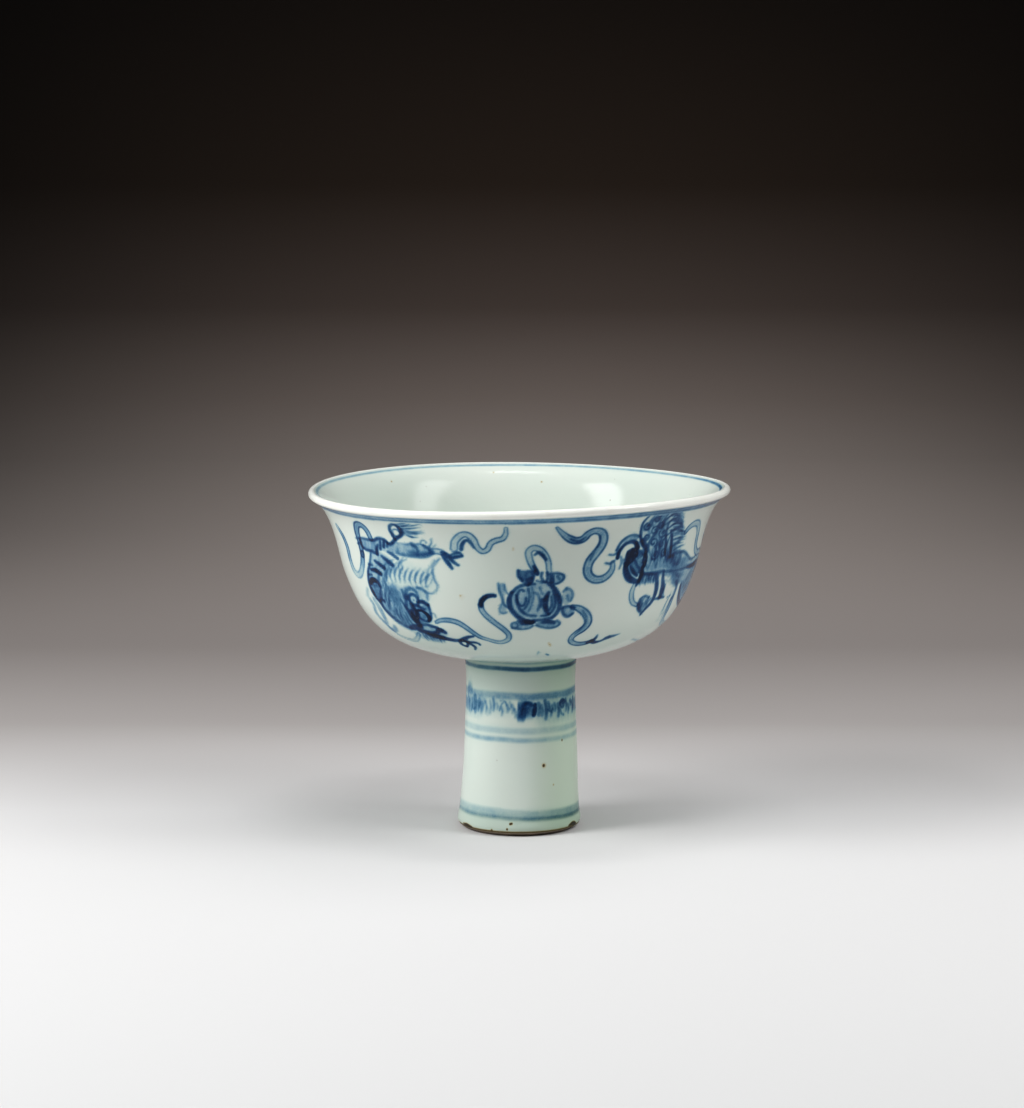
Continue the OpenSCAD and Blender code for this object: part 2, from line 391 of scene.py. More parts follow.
def flat_sheet(name, runs, layers, limit):
    """Unrolled sheet of a turned piece: x is the share of the turn, y the length along a run, z its number.
    Its faces are small only where the paint in layers, which lies on the first run, changes. Its runs meet in
    sharp edges."""
    rows = [rows_for(run) for run in runs]
    lengths = [measure(run)[-1] for run in runs]
    cells = [split_cells(n, [] if k else list(layers.values()), limit) for k, n in enumerate(rows)]
    faces, points, paint, border, start = [], [], [], [], 0
    for k, mark in enumerate(mark_corners(rows, cells)):
        faces += fill_squares(cells[k], mark, start)
        start += mark.sum()
        row, column = np.nonzero(mark)
        points.append(np.c_[column / TURN, row / rows[k] * lengths[k], np.full(len(row), k)])
        border.append(np.where(row == 0, 1, np.where(row == rows[k], 2, 0)))
        paint.append([np.zeros(len(row)) if k else v[row, column] for v in layers.values()])
    points = np.vstack(points)
    mesh = bpy.data.meshes.new(name)
    mesh.from_pydata(points.tolist(), [], faces)
    ends = np.empty(len(mesh.edges) * 2, np.int32)
    mesh.edges.foreach_get("vertices", ends)
    one, other = np.concatenate(border)[ends.reshape(-1, 2)].T
    mesh.attributes.new("sharp_edge", "BOOLEAN", "EDGE").data.foreach_set("value", (one == other) & (one > 0))
    for layer, values in zip(layers, zip(*paint)):
        stored = mesh.attributes.new(layer, "FLOAT", "POINT").data
        stored.foreach_set("value", np.concatenate(values).astype(np.float32))
    if layers:
        lay_map(mesh, points, faces, lengths)
    return mesh


def lay_map(mesh, points, faces, lengths):
    """A map of the sheet for baking: the painted run in four quarters, other runs in strips under them."""
    # a quarter, the height that the strips take and the gaps between, as shares of the map
    wide, tall, foot, gap = 0.5, 0.46, 0.08, 0.003
    thinnest_strip, strip_fill, strips_start = 0.0015, 0.9, 0.002
    corners = np.concatenate([np.asarray(f) for f in faces])
    counts = np.array([len(f) for f in faces])
    starts = np.r_[0, np.cumsum(counts)[:-1]]
    x, y, run = points[corners].T
    middle = np.repeat(np.add.reduceat(x, starts) / counts, counts)
    quarter = np.minimum(np.floor(middle * 4), 3)
    front = np.c_[(quarter % 2) * wide + gap + (x * 4 - quarter) * (wide - 2 * gap),
                  foot + (quarter // 2) * tall + gap + y / lengths[0] * (tall - 2 * gap)]
    below = np.r_[0, np.cumsum(np.maximum(lengths[1:], thinnest_strip))]
    scale = (foot - 2 * gap) / below[-1]
    lift = np.r_[0, below[:-1]][run.astype(int)]
    back = np.c_[gap + x * (1 - 2 * gap), strips_start + (lift + strip_fill * y) * scale]
    places = np.where(run[:, None] == 0, front, back).astype(np.float32)
    mesh.uv_layers.new(name="OFBake").data.foreach_set("uv", places.ravel())


def turned_tree():
    """Geometry nodes that wrap a sheet round the axis along a profile, with the kiln's lean and tilt."""
    tree = bpy.data.node_groups.new("turned_skin", "GeometryNodeTree")
    kinds = {"Sheet": "Geometry", "Profile": "Object", "Finish": "Material", "Joint height": "Float",
             "Rim height": "Float", "Lean": "Float", "Tilt": "Float", "Rim wave": "Float"}
    for label, kind in kinds.items():
        tree.interface.new_socket(label, in_out="INPUT", socket_type="NodeSocket" + kind)
    tree.interface.new_socket("Piece", in_out="OUTPUT", socket_type="NodeSocketGeometry")

    def node(kind, settings=None, sockets=None):
        return Wire.node(tree, kind, settings, sockets)

    def apart(vector):
        """The three parts of a vector."""
        return [Wire(socket) for socket in node("ShaderNodeSeparateXYZ", None, {0: Wire(vector)}).outputs]

    given = {s.name: Wire(s) for s in node("NodeGroupInput").outputs if s.name}
    turn, along, run = apart(node("GeometryNodeInputPosition").outputs[0])
    profile = node("GeometryNodeObjectInfo", None, {"Object": given["Profile"]})
    whole = node("FunctionNodeFloatToInt", None, {0: run})
    sample = node("GeometryNodeSampleCurve", {"mode": "LENGTH", "use_all_curves": False},
                  {"Curves": Wire(profile.outputs["Geometry"]), "Length": along,
                   "Curve Index": Wire(whole.outputs[0])})
    radius, _, height = apart(sample.outputs["Position"])
    out, _, up = apart(sample.outputs["Tangent"])
    angle = turn * (2 * math.pi) - math.pi
    sine, cosine = angle.maths("SINE"), angle.maths("COSINE")
    over = height - given["Joint height"]
    rise = (over / (given["Rim height"] - given["Joint height"])).maths("MAXIMUM", 0.0)
    across = radius * sine
    lean = given["Lean"] * height.ease(0.0, LEAN_TOP) - given["Tilt"] * over.maths("MAXIMUM", 0.0)
    wave = (angle * 2.0 + WAVE_START).maths("SINE") - WAVE_MIDDLE
    lift = given["Tilt"] * across * over.ease(*TILT_SETS_IN) + given["Rim wave"] * rise * rise * wave
    place = node("ShaderNodeCombineXYZ", None,
                 {0: across + lean, 1: radius * cosine * -1.0, 2: height + lift})
    facing = node("ShaderNodeCombineXYZ", None, {0: up * sine, 1: up * cosine * -1.0, 2: out * -1.0})
    kept = node("GeometryNodeStoreNamedAttribute", {"data_type": "FLOAT_VECTOR", "domain": "CORNER"},
                {"Geometry": given["Sheet"], "Name": "facing", "Value": Wire(facing.outputs[0])})
    wrapped = node("GeometryNodeSetPosition", None,
                   {"Geometry": Wire(kept.outputs[0]), "Position": Wire(place.outputs[0])})
    closed = node("GeometryNodeMergeByDistance", None,
                  {"Geometry": Wire(wrapped.outputs[0]), "Distance": WELD})
    smooth = node("GeometryNodeSetShadeSmooth", None, {"Geometry": Wire(closed.outputs[0])})
    stored = node("GeometryNodeInputNamedAttribute", {"data_type": "FLOAT_VECTOR"}, {"Name": "facing"})
    turned = node("GeometryNodeSetMeshNormal", {"mode": "FREE", "domain": "CORNER"},
                  {"Mesh": Wire(smooth.outputs[0]), "Custom Normal": Wire(stored.outputs[0])})
    bare = node("GeometryNodeRemoveAttribute", None, {"Geometry": Wire(turned.outputs[0]), "Name": "facing"})
    real = node("GeometryNodeRealizeInstances", None, {"Geometry": Wire(bare.outputs[0])})
    dressed = node("GeometryNodeSetMaterial", None,
                   {"Geometry": Wire(real.outputs[0]), "Material": given["Finish"]})
    node("NodeGroupOutput", None, {0: Wire(dressed.outputs[0])})
    return tree


def profile_curve(runs):
    """A curve object with one line for each run of a half section."""
    curve = bpy.data.curves.new("profile", "CURVE")
    curve.dimensions = "3D"
    for run in runs:
        line = curve.splines.new("POLY")
        line.points.add(len(run) - 1)
        co = np.c_[run[:, 0], np.zeros(len(run)), run[:, 1], np.ones(len(run))]
        line.points.foreach_set("co", co.astype(np.float32).ravel())
    profile = bpy.data.objects.new("profile", curve)
    bpy.context.scene.collection.objects.link(profile)
    return profile


def turned_piece(name, node, finish, stands_for=(), paint=None, limit=SPLIT_LIMIT):
    """A closed piece turned from a node's half section. It stands for that node and the others named."""
    cup = bpy.context.scene.stem_cup
    runs = smooth_runs(*half_section(node))
    layers = paint(runs[0]) if paint else {}
    profile = profile_curve(runs)
    piece = bpy.data.objects.new(name, flat_sheet(name, runs, layers, limit))
    bpy.context.scene.collection.objects.link(piece)
    tree = bpy.data.node_groups.get("turned_skin") or turned_tree()
    turned = piece.modifiers.new("turned_skin", "NODES")
    turned.node_group = tree
    given = {"Profile": profile, "Finish": finish, "Joint height": JOINT, "Rim height": RIM,
             "Lean": cup.lean, "Tilt": cup.tilt, "Rim wave": cup.rim_wave}
    for socket in tree.interface.items_tree:
        if socket.name in given:
            turned[socket.identifier] = given[socket.name]
    graph = bpy.context.evaluated_depsgraph_get()
    ready = piece.evaluated_get(graph)
    mesh = bpy.data.meshes.new_from_object(ready, preserve_all_data_layers=True, depsgraph=graph)
    if not len(mesh.polygons):
        raise RuntimeError(f"the turned skin of {name} came out empty")
    flat, curve = piece.data, profile.data
    piece.modifiers.remove(turned)
    piece.data = mesh
    mesh.name = name
    bpy.data.meshes.remove(flat)
    bpy.data.objects.remove(profile)
    bpy.data.curves.remove(curve)
    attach(piece, "root")
    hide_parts(node, *stands_for)


# Painting

def smooth_path(points, step):
    """Points of a smooth line through the given ones, about one step apart, with the share along it."""
    p = np.asarray(points, float)
    if len(p) == 2:
        n = max(2, int(np.linalg.norm(p[1] - p[0]) / step) + 1)
        t = np.linspace(0, 1, n)[:, None]
        return p[0] * (1 - t) + p[1] * t, t[:, 0]
    ends = np.vstack([2 * p[0] - p[1], p, 2 * p[-1] - p[-2]])
    out = []
    for i in range(len(p) - 1):
        a, b, c, d = ends[i:i + 4]
        n = max(2, int(np.linalg.norm(c - b) / step) + 1)
        t = np.linspace(0, 1, n, endpoint=False)[:, None]
        square, cube = (2 * a - 5 * b + 4 * c - d) * t * t, (3 * b - a - 3 * c + d) * t ** 3
        out.append(0.5 * (2 * b + (c - a) * t + square + cube))
    q = np.vstack(out + [p[-1:]])
    far = measure(q)
    return q, far / max(far[-1], 1e-9)


def ramp(x):
    """Rises smoothly from 0 at 0 to 1 at 1."""
    x = np.clip(x, 0, 1)
    return x * x * (3 - 2 * x)


def spread_out(values, t):
    """A number, or numbers spaced evenly along a stroke, at the shares t."""
    v = np.atleast_1d(np.asarray(values, float))
    return np.interp(t, np.linspace(0, 1, len(v)), v) if len(v) > 1 else np.full(len(t), v[0])


class Brush:
    """Lays colour on the unrolled front of a turned piece: x is mm round from the middle of the front, y mm
    along the run, or mm of height. Each stroke is one pass of a loaded brush, and tones add up where strokes
    cross."""

    def __init__(self, run, round_mm):
        self.length, self.height, self.radius = measure(run) * MM, run[:, 1] * MM, run[:, 0] * MM
        self.cols, self.rows = 2 * TURN, 2 * rows_for(run)
        self.kx, self.ky = self.cols / round_mm, self.rows / self.length[-1]
        self.cobalt, self.iron = np.zeros((2, self.rows, self.cols))
        self.sheet = self.cobalt
        self.shift, self.sway, self.by_height, self.sag = 0.0, 0.0, False, None

    def place(self, points):
        """Points of a stroke where this figure stands, with the sway of a freehand repeat."""
        p = np.asarray(points, float).copy()
        x, y = p[:, 0].copy(), p[:, 1].copy()
        p[:, 0] += self.sway * (np.sin(0.17 * y + 0.9) + 0.6 * np.sin(0.23 * x))
        p[:, 1] += self.sway * (np.sin(0.13 * x + 2.1) + 0.5 * np.sin(0.31 * y + 0.07 * x))
        p[:, 0] += self.shift
        if self.sag:
            p[:, 1] -= self.sag(p)
        if self.by_height:
            p[:, 1] = np.interp(p[:, 1], self.height, self.length)
        return p

    def window(self, p, reach):
        """Rows and columns of the sheet round some points, and where they lie in mm."""
        lo, hi = p.min(0) - reach, p.max(0) + reach
        c = np.arange(math.floor(lo[0] * self.kx), math.ceil(hi[0] * self.kx) + 1)
        r = np.arange(max(0, math.floor(lo[1] * self.ky)), min(self.rows, math.ceil(hi[1] * self.ky) + 1))
        return r, c, (c + 0.5) / self.kx, (r + 0.5) / self.ky

    def lay(self, r, c, amount):
        """Adds colour over what is there. Dark over dark grows less."""
        if not len(r):
            return
        cell = np.ix_(r, (c + self.cols // 2) % self.cols)
        old = self.sheet[cell]
        self.sheet[cell] = old + amount - old * amount / FULL_LOAD

    def trace(self, points, widths, tones):
        """Distance to a stroke over its window, with the half width and tone at the nearest place on it."""
        q, t = smooth_path(self.place(points), STROKE_STEP)
        half, tone = spread_out(widths, t) / 2, spread_out(tones, t)
        reach = half.max() + 0.8
        r, c, x_mm, y_mm = self.window(q, reach)
        far = np.full((len(r), len(c)), 9e9)
        near_half, near_tone = np.ones_like(far), np.zeros_like(far)
        for (x, y), h, v in zip(q, half, tone):
            rows = slice(*np.searchsorted(y_mm, [y - reach, y + reach]))
            cols = slice(*np.searchsorted(x_mm, [x - reach, x + reach]))
            d = np.hypot(x_mm[None, cols] - x, y_mm[rows, None] - y)
            nearer = d < far[rows, cols]
            far[rows, cols][nearer] = d[nearer]
            near_half[rows, cols][nearer] = h
            near_tone[rows, cols][nearer] = v
        return r, c, far, near_half, near_tone

    def line(self, points, width, tone, soft=0.7):
        """One pass of a loaded brush. Width and tone are numbers, or lists spaced along the stroke."""
        r, c, far, half, v = self.trace(points, width, tone)
        self.lay(r, c, v * ramp((half - far) / soft + 0.5))

    def ribbon(self, points, width, tone, fill=0.5):
        """A flat ribbon: a thin wash with a streak along its middle, darker to both edges."""
        r, c, far, half, v = self.trace(points, width, tone)
        inside = ramp((half + 0.1 - far) / 0.6 + 0.5)
        across = far / half
        thin, edge, streak = 0.62 * fill, ramp(across * 2.0 - 0.9), ramp(1 - across * 3.2)
        self.lay(r, c, v * inside * (thin + (1.15 - thin) * edge + 0.2 * streak))

    def wash(self, outline, tone, soft=0.5):
        """A filled patch with a soft edge, its corners rounded, streaked by the hairs of the brush."""
        q, _ = smooth_path(self.place([*outline, outline[0]]), OUTLINE_STEP)
        r, c, x_mm, y_mm = self.window(q, 1.5)
        inside = np.zeros((len(r), len(c)), bool)
        for (x0, y0), (x1, y1) in zip(q, np.roll(q, -1, 0)):
            span = (y_mm >= min(y0, y1)) & (y_mm < max(y0, y1))
            if span.any():
                at = x0 + (y_mm[span] - y0) * (x1 - x0) / (y1 - y0)
                inside[span] ^= x_mm[None, :] < at[:, None]
        n = max(1, int(soft * self.kx))
        box = np.ones(n) / n
        filled = inside.astype(float)
        for axis in (0, 1, 0, 1):
            filled = np.apply_along_axis(np.convolve, axis, filled, box, "same")
        x, y = x_mm[None, :], y_mm[:, None]
        hairs = np.sin(3.1 * x + 1.3 * np.sin(0.9 * y)) + np.sin(1.7 * x - 0.8 * y + 2 * np.sin(0.31 * x))
        self.lay(r, c, tone * filled * (0.68 + 0.3 * ramp(0.5 + 0.25 * hairs)))

    def hairs(self, roots, tips, count, width, tone, bend=0.0):
        """Tapering strokes from along one line to along another, like fur."""
        a, _ = smooth_path(roots, 0.1)
        b, _ = smooth_path(tips, 0.1)
        for i in range(count):
            s = i / max(1, count - 1)
            p, q = a[int(s * (len(a) - 1))], b[int(s * (len(b) - 1))]
            p, q = p + (p - q) * 0.16 * math.sin(2.4 * i), q + (q - p) * 0.14 * math.sin(3.7 * i + 1)
            aside = bend * (1 + 0.6 * math.sin(1.9 * i)) * np.array([q[1] - p[1], p[0] - q[0]])
            full = tone * (1.15 + 0.3 * math.sin(2.9 * i))
            widths, tones = [width * 0.6, width, width * 0.4], [tone * 0.9, full, tone * 0.6]
            self.line([p, (p + q) / 2 + aside, q], widths, tones)

    def ring(self, centre, rx, ry, width, tone, start=0, sweep=360):
        """A stroke round an oval, or round a part of it."""
        a = np.radians(np.linspace(start, start + sweep, max(8, int(abs(sweep) / 20))))
        self.line(np.c_[centre[0] + rx * np.cos(a), centre[1] + ry * np.sin(a)], width, tone)

    def curl(self, centre, r, turns, width, tone, start=0):
        """A stroke that winds in to a quarter of its radius."""
        a = np.linspace(0, turns * 2 * math.pi, max(8, int(turns * 12)))
        out, angle = r * (1 - 0.75 * a / a[-1]), a + math.radians(start)
        self.line(np.c_[centre[0] + out * np.cos(angle), centre[1] + out * np.sin(angle)], width, tone)

    def dot(self, x, y, r, tone):
        self.line([(x, y), (x + 0.01, y)], 2 * r, tone, min(0.5, 1.2 * r))

    def hoop(self, low, high, tones, soft=0.4, slant=0.0):
        """A line turned on the wheel between two places. Its tone changes round the turn. It may slant."""
        turn = (np.arange(self.cols) + 0.5) / self.cols
        sway = 0.12 * np.sin(turn * 6 * math.pi) + 0.08 * np.sin(turn * 14 * math.pi + 1)
        sway -= slant * np.sin(turn * 2 * math.pi)
        tone = spread_out([*tones, tones[0]], turn)
        far = np.abs((np.arange(self.rows)[:, None] + 0.5) / self.ky - (low + high) / 2 - sway)
        amount = tone * ramp(((high - low) / 2 - far) / soft + 0.5)
        self.sheet += amount - self.sheet * amount / FULL_LOAD

    def halo(self, reach=1.1):
        """The cobalt spread out over this many mm, as it creeps into the glaze."""
        spread = self.cobalt
        for axis, n in ((0, int(reach * self.ky)), (1, int(reach * self.kx))) * 2:
            spread = sum(np.roll(spread, k, axis) for k in range(-n, n + 1)) / (2 * n + 1)
        return spread

    def layers(self):
        """The paint at the lattice points, as a piece's sheet takes it, slightly bled into the glaze."""
        made = {}
        for name, sheet in (("cobalt", self.cobalt + BLED * self.halo()), ("iron", self.iron)):
            for _ in range(2):
                sheet = (np.roll(sheet, 1, 1) + 2 * sheet + np.roll(sheet, -1, 1)) / 4
                tall = np.vstack([sheet[:1], sheet, sheet[-1:]])
                sheet = (tall[:-2] + 2 * sheet + tall[2:]) / 4
            wide = np.hstack([sheet[:, -1:], sheet, sheet[:, :1]])
            tall = np.vstack([wide[:1], wide, wide[-1:]])
            made[name] = ((tall[:-1, :-1] + tall[1:, :-1] + tall[:-1, 1:] + tall[1:, 1:]) / 4)[::2, ::2]
        return made


# Figures: points are mm round from the middle of the front and mm along the bowl from the joint

def rolling_loop(b):
    """The ribbon behind the rolling lion's rump, and the loop over it."""
    b.ribbon([(-76, 77.5), (-73.4, 74), (-72.2, 70), (-72.3, 65.5), (-71.2, 61.6), (-68.4, 59.9),
              (-65.3, 61), (-62.6, 64.6), (-61, 69)], [2.4, 2.6, 2.6, 2.2],
             [.45, .85, .75, .55, .35, .35, .6, .95], .55)
    b.ribbon([(-61.2, 68.5), (-60.9, 73), (-60.6, 77), (-58.9, 80.2), (-56.4, 80.9), (-54.6, 79),
              (-53.8, 75.5)], [2.2, 2.6, 2.6, 2.0], [.95, .85, .85, .85, .8], .5)


def rolling_rump(b):
    """Its rump and back."""
    b.wash([(-60.5, 74.8), (-56, 75), (-53, 75), (-52.4, 71.5), (-56, 70.8), (-60.3, 71.6)], .34)
    b.line([(-63, 74.6), (-59, 75.1), (-55, 75), (-52.6, 75), (-50, 76.1), (-47.4, 75.9), (-45.6, 74.4),
            (-44, 75), (-42.3, 76.6)], [.7, 1.0, 1.1, 1.2, 1.2], [.35, .65, .7, .8, .85])
    b.line([(-60.4, 74.5), (-60, 72), (-58, 70.8), (-55, 70.6), (-52.6, 69.9)], [1.0, 1.2], [.8, .75])
    b.line([(-62.5, 72.6), (-60.8, 73)], .8, .45)
    b.wash([(-53, 75), (-49.5, 76), (-46, 75), (-43, 75), (-42, 72), (-46, 70.5), (-50, 71.5), (-53, 70)],
           .26)
    b.line([(-52.4, 69.9), (-52, 72), (-51, 73.4)], [1.5, 1.3, .8], [1.05, .95, .6])
    b.line([(-50.2, 72), (-49.3, 75.2)], [1.1, .9], [.7, .6])
    b.line([(-48.4, 73), (-47.6, 75.4)], [1.2, 1.0], [.9, .95])
    b.line([(-46.8, 73.2), (-46.2, 75)], .8, .6)


def rolling_tail(b):
    """The curl of its tail, and the hair on it."""
    b.line([(-42.2, 76.4), (-42.9, 78.4), (-43.2, 80.4), (-42.4, 82.3), (-40.8, 83.3), (-39.3, 82.4),
            (-38.6, 80.5), (-39.4, 78.6), (-41, 77.5), (-42.2, 76.6)], [1.2, 1.1, 1.1, 1.3, 1.2],
           [.85, .8, .75, .8, .75])
    b.ring((-40.9, 79.4), 1.5, 1.6, .6, .5)
    b.wash([(-40, 82.6), (-38.4, 82), (-37.4, 80), (-38.4, 78.4), (-39.6, 79)], .5)
    b.hairs([(-40, 83.4), (-38.4, 81.6), (-38, 79)],
            [(-33.5, 86), (-31, 84.6), (-30.2, 81.4), (-33.5, 78.6)], 8, .8, .5, .06)


def rolling_hind_leg(b):
    """Its hind leg and the claws."""
    b.wash([(-42.5, 75), (-39, 75), (-36, 75.8), (-32.5, 75.6), (-29.2, 74.5), (-28.8, 72.6), (-30.5, 71.2),
            (-35, 70.6), (-40, 70.4), (-43, 71)], .3, .9)
    b.line([(-43, 71.2), (-40, 70.8), (-36.5, 70.9), (-33, 71.1), (-30, 71.9), (-28.7, 73)],
           [.9, 1.2, 1.6, 1.8, 1.4], [.3, .32, .4, .55, .5], 1.0)
    b.line([(-44, 75.2), (-40.5, 75.2), (-37.5, 75.2), (-36, 76), (-34.6, 75.4), (-33.4, 75.8),
            (-31.6, 75.3), (-29.4, 74.6)], .6, [.4, .34, .38, .34])
    b.line([(-36, 75.2), (-34.6, 74.4), (-34, 73)], 1.1, [.5, .62, .4])
    b.line([(-31.6, 75.4), (-30.4, 74.2), (-29.4, 73.4)], .9, .45)
    b.line([(-38, 72.4), (-34, 72.1), (-30, 72.5)], [.8, 1.6, 1.3], [.25, .36, .36], 1.0)
    b.line([(-32.6, 76), (-32, 77.2), (-31, 77.4), (-30.4, 76.4)], .6, .35)
    b.line([(-29.6, 75), (-28.6, 76.6), (-28.5, 77.8)], .7, .38)
    b.line([(-28.4, 74.8), (-27.2, 76)], .5, .3)
    b.ribbon([(-29, 73.2), (-27, 73.4), (-25.4, 73)], 2.2, .45, .4)
    b.line([(-25.4, 73), (-24.5, 70.6), (-23.2, 68.4), (-22.5, 67.2)], [1.4, 1.6, 1.5, 1.0],
           [.8, .8, .85, .7])
    b.line([(-24.6, 72.8), (-23, 71), (-21.6, 69.4), (-20.2, 68.5)], [1.2, 1.3, 1.2, .9],
           [.8, .8, .75, .65])
    b.line([(-24, 72.6), (-22.3, 71.4), (-20.8, 71.6), (-18.7, 72)], [1.2, 1.2, 1.3, .9],
           [.75, .75, .85, .75])
    b.line([(-22.6, 72.2), (-21.2, 72.9), (-19.6, 73.2), (-18.8, 72.4)], [.8, .9, 1.1, .8],
           [.6, .7, .85, .75])


def rolling_spine(b):
    """Its spine with the bars across it."""
    b.wash([(-55.5, 70.5), (-50, 70.5), (-46, 68), (-47, 64), (-50, 60), (-54, 57), (-60, 57), (-60.8, 61),
            (-58.8, 65), (-57, 68)], .24, 1.0)
    b.line([(-55.6, 70.4), (-56.8, 67.6), (-57.8, 65.2), (-59.4, 63), (-60.4, 60.6), (-61.4, 57.6),
            (-61.4, 54.8), (-60, 52), (-58.2, 50), (-57.2, 47.4), (-55, 44.6), (-52, 42.4), (-48.6, 40.6),
            (-45, 40)], [.8, .9, 1.2, 1.1, 1.3, 1.6, 1.4, 1.2, 1.2],
           [.5, .6, .75, .7, .85, .7, .45, .36, .34])
    b.line([(-47, 71.3), (-45, 70.4), (-43, 69.2)], [.8, 1.3, 1.2], [.55, .7, .8])
    b.line([(-50.4, 69.2), (-48.4, 68), (-46, 66.5)], [.9, 1.5, 1.6], [.6, .85, 1.0])
    b.line([(-54.6, 67), (-52.4, 66), (-50.2, 64.8)], [.9, 1.5, 1.5], [.75, .85, .95])
    b.line([(-57.6, 63.2), (-55, 63.2), (-52.6, 62.2)], [1.1, 1.9, 1.6], [.9, 1.15, 1.1])
    b.line([(-60.6, 57.6), (-58, 59.2), (-55.6, 58.6), (-54.8, 57)], [1.8, 2.2, 2.0, 1.2],
           [1.1, 1.3, 1.25, .9])
    b.line([(-60.9, 56), (-60.6, 54), (-59.8, 52.4)], [1.2, 1.7, 1.2], [1.0, 1.2, 1.0])
    b.wash([(-60, 57.4), (-55.4, 57.4), (-54.6, 54), (-57, 51.4), (-60, 53.4)], .5)
    b.line([(-58, 50.8), (-56.6, 51.6), (-55.4, 51.2)], 1.3, .85)
    b.line([(-58.6, 65.2), (-56.4, 65.2)], .8, .6)
    b.line([(-60, 61), (-57.8, 61.2)], .8, .6)


def rolling_belly(b):
    """The fur of its belly."""
    b.wash([(-51, 68), (-45, 68.5), (-40, 68.5), (-34, 67.4), (-29.4, 66), (-28.8, 60), (-32, 57.4),
            (-40, 58), (-49, 58.4)], .06, 1.4)
    for x, top in ((-50, 65.4), (-47.8, 66.2), (-45.6, 66.6), (-43.4, 66.4), (-41.2, 66.2), (-39, 66.2),
                   (-36.8, 66), (-34.6, 65.8), (-32.6, 65.2)):
        b.line([(x + 2.4, top), (x + .7, top - 2), (x - .2, top - 4.4), (x + .3, top - 6.6)],
               [.5, .9, .8, .5], [.2, .42, .38, .2])
    b.hairs([(-47.4, 67.6), (-42.6, 68.6), (-39, 69.6)], [(-50, 63), (-45.6, 63.6), (-41.4, 64.6)], 5, .7,
            .34, .2)
    b.hairs([(-54, 62), (-49.6, 61.6)], [(-55, 55.6), (-50.4, 56)], 5, .7, .38, .12)
    b.line([(-26.6, 70.6), (-28.6, 68.4), (-29.6, 65.8), (-29.2, 62.6), (-28.4, 60.6), (-29.2, 58.2),
            (-31.4, 57), (-33.6, 57.6)], [.8, 1.0, .9, .8, .9], [.32, .36, .34, .3, .34])
    b.line([(-28.4, 70), (-30.6, 67), (-31.6, 65)], .7, .25)
    b.line([(-31.4, 64.6), (-33.2, 62.4), (-35, 61)], .6, .26)
    b.line([(-30.2, 62.6), (-31.2, 60.4), (-33.4, 59.4)], .6, .24)


def rolling_mane(b):
    """Its mane."""
    b.wash([(-58, 52), (-55, 56.4), (-51, 58.4), (-46, 59), (-44, 56), (-45, 50), (-43.6, 44), (-42, 41),
            (-47, 40), (-52, 42.4), (-56, 46)], .25, 1.3)
    b.wash([(-51.2, 55.6), (-48.6, 57.2), (-46.2, 56), (-46.2, 52.4), (-48.4, 50.8), (-50.8, 52.4)], .34,
           1.2)
    b.line([(-58.6, 51.4), (-56.6, 47), (-54, 44), (-51, 41.6), (-47.6, 40.2)], [1.6, 2.4, 2.8, 2.4],
           [.45, .32, .36, .4], 1.8)
    b.wash([(-52.4, 56.8), (-47, 58), (-45, 54), (-45.4, 48), (-44, 43), (-47, 41.4), (-51.4, 44),
            (-53.6, 49)], .12, 1.2)
    b.hairs([(-54.6, 56.6), (-49, 58)], [(-57, 49.4), (-52.6, 46.4)], 6, .8, .26, .12)
    b.hairs([(-52.4, 52), (-46.8, 50)], [(-54.6, 44.6), (-47.6, 41)], 7, .8, .3, .1)
    b.hairs([(-50, 48.6), (-45.6, 46.6)], [(-49.6, 42.6), (-44.4, 40.8)], 4, 1.0, .36, .06)


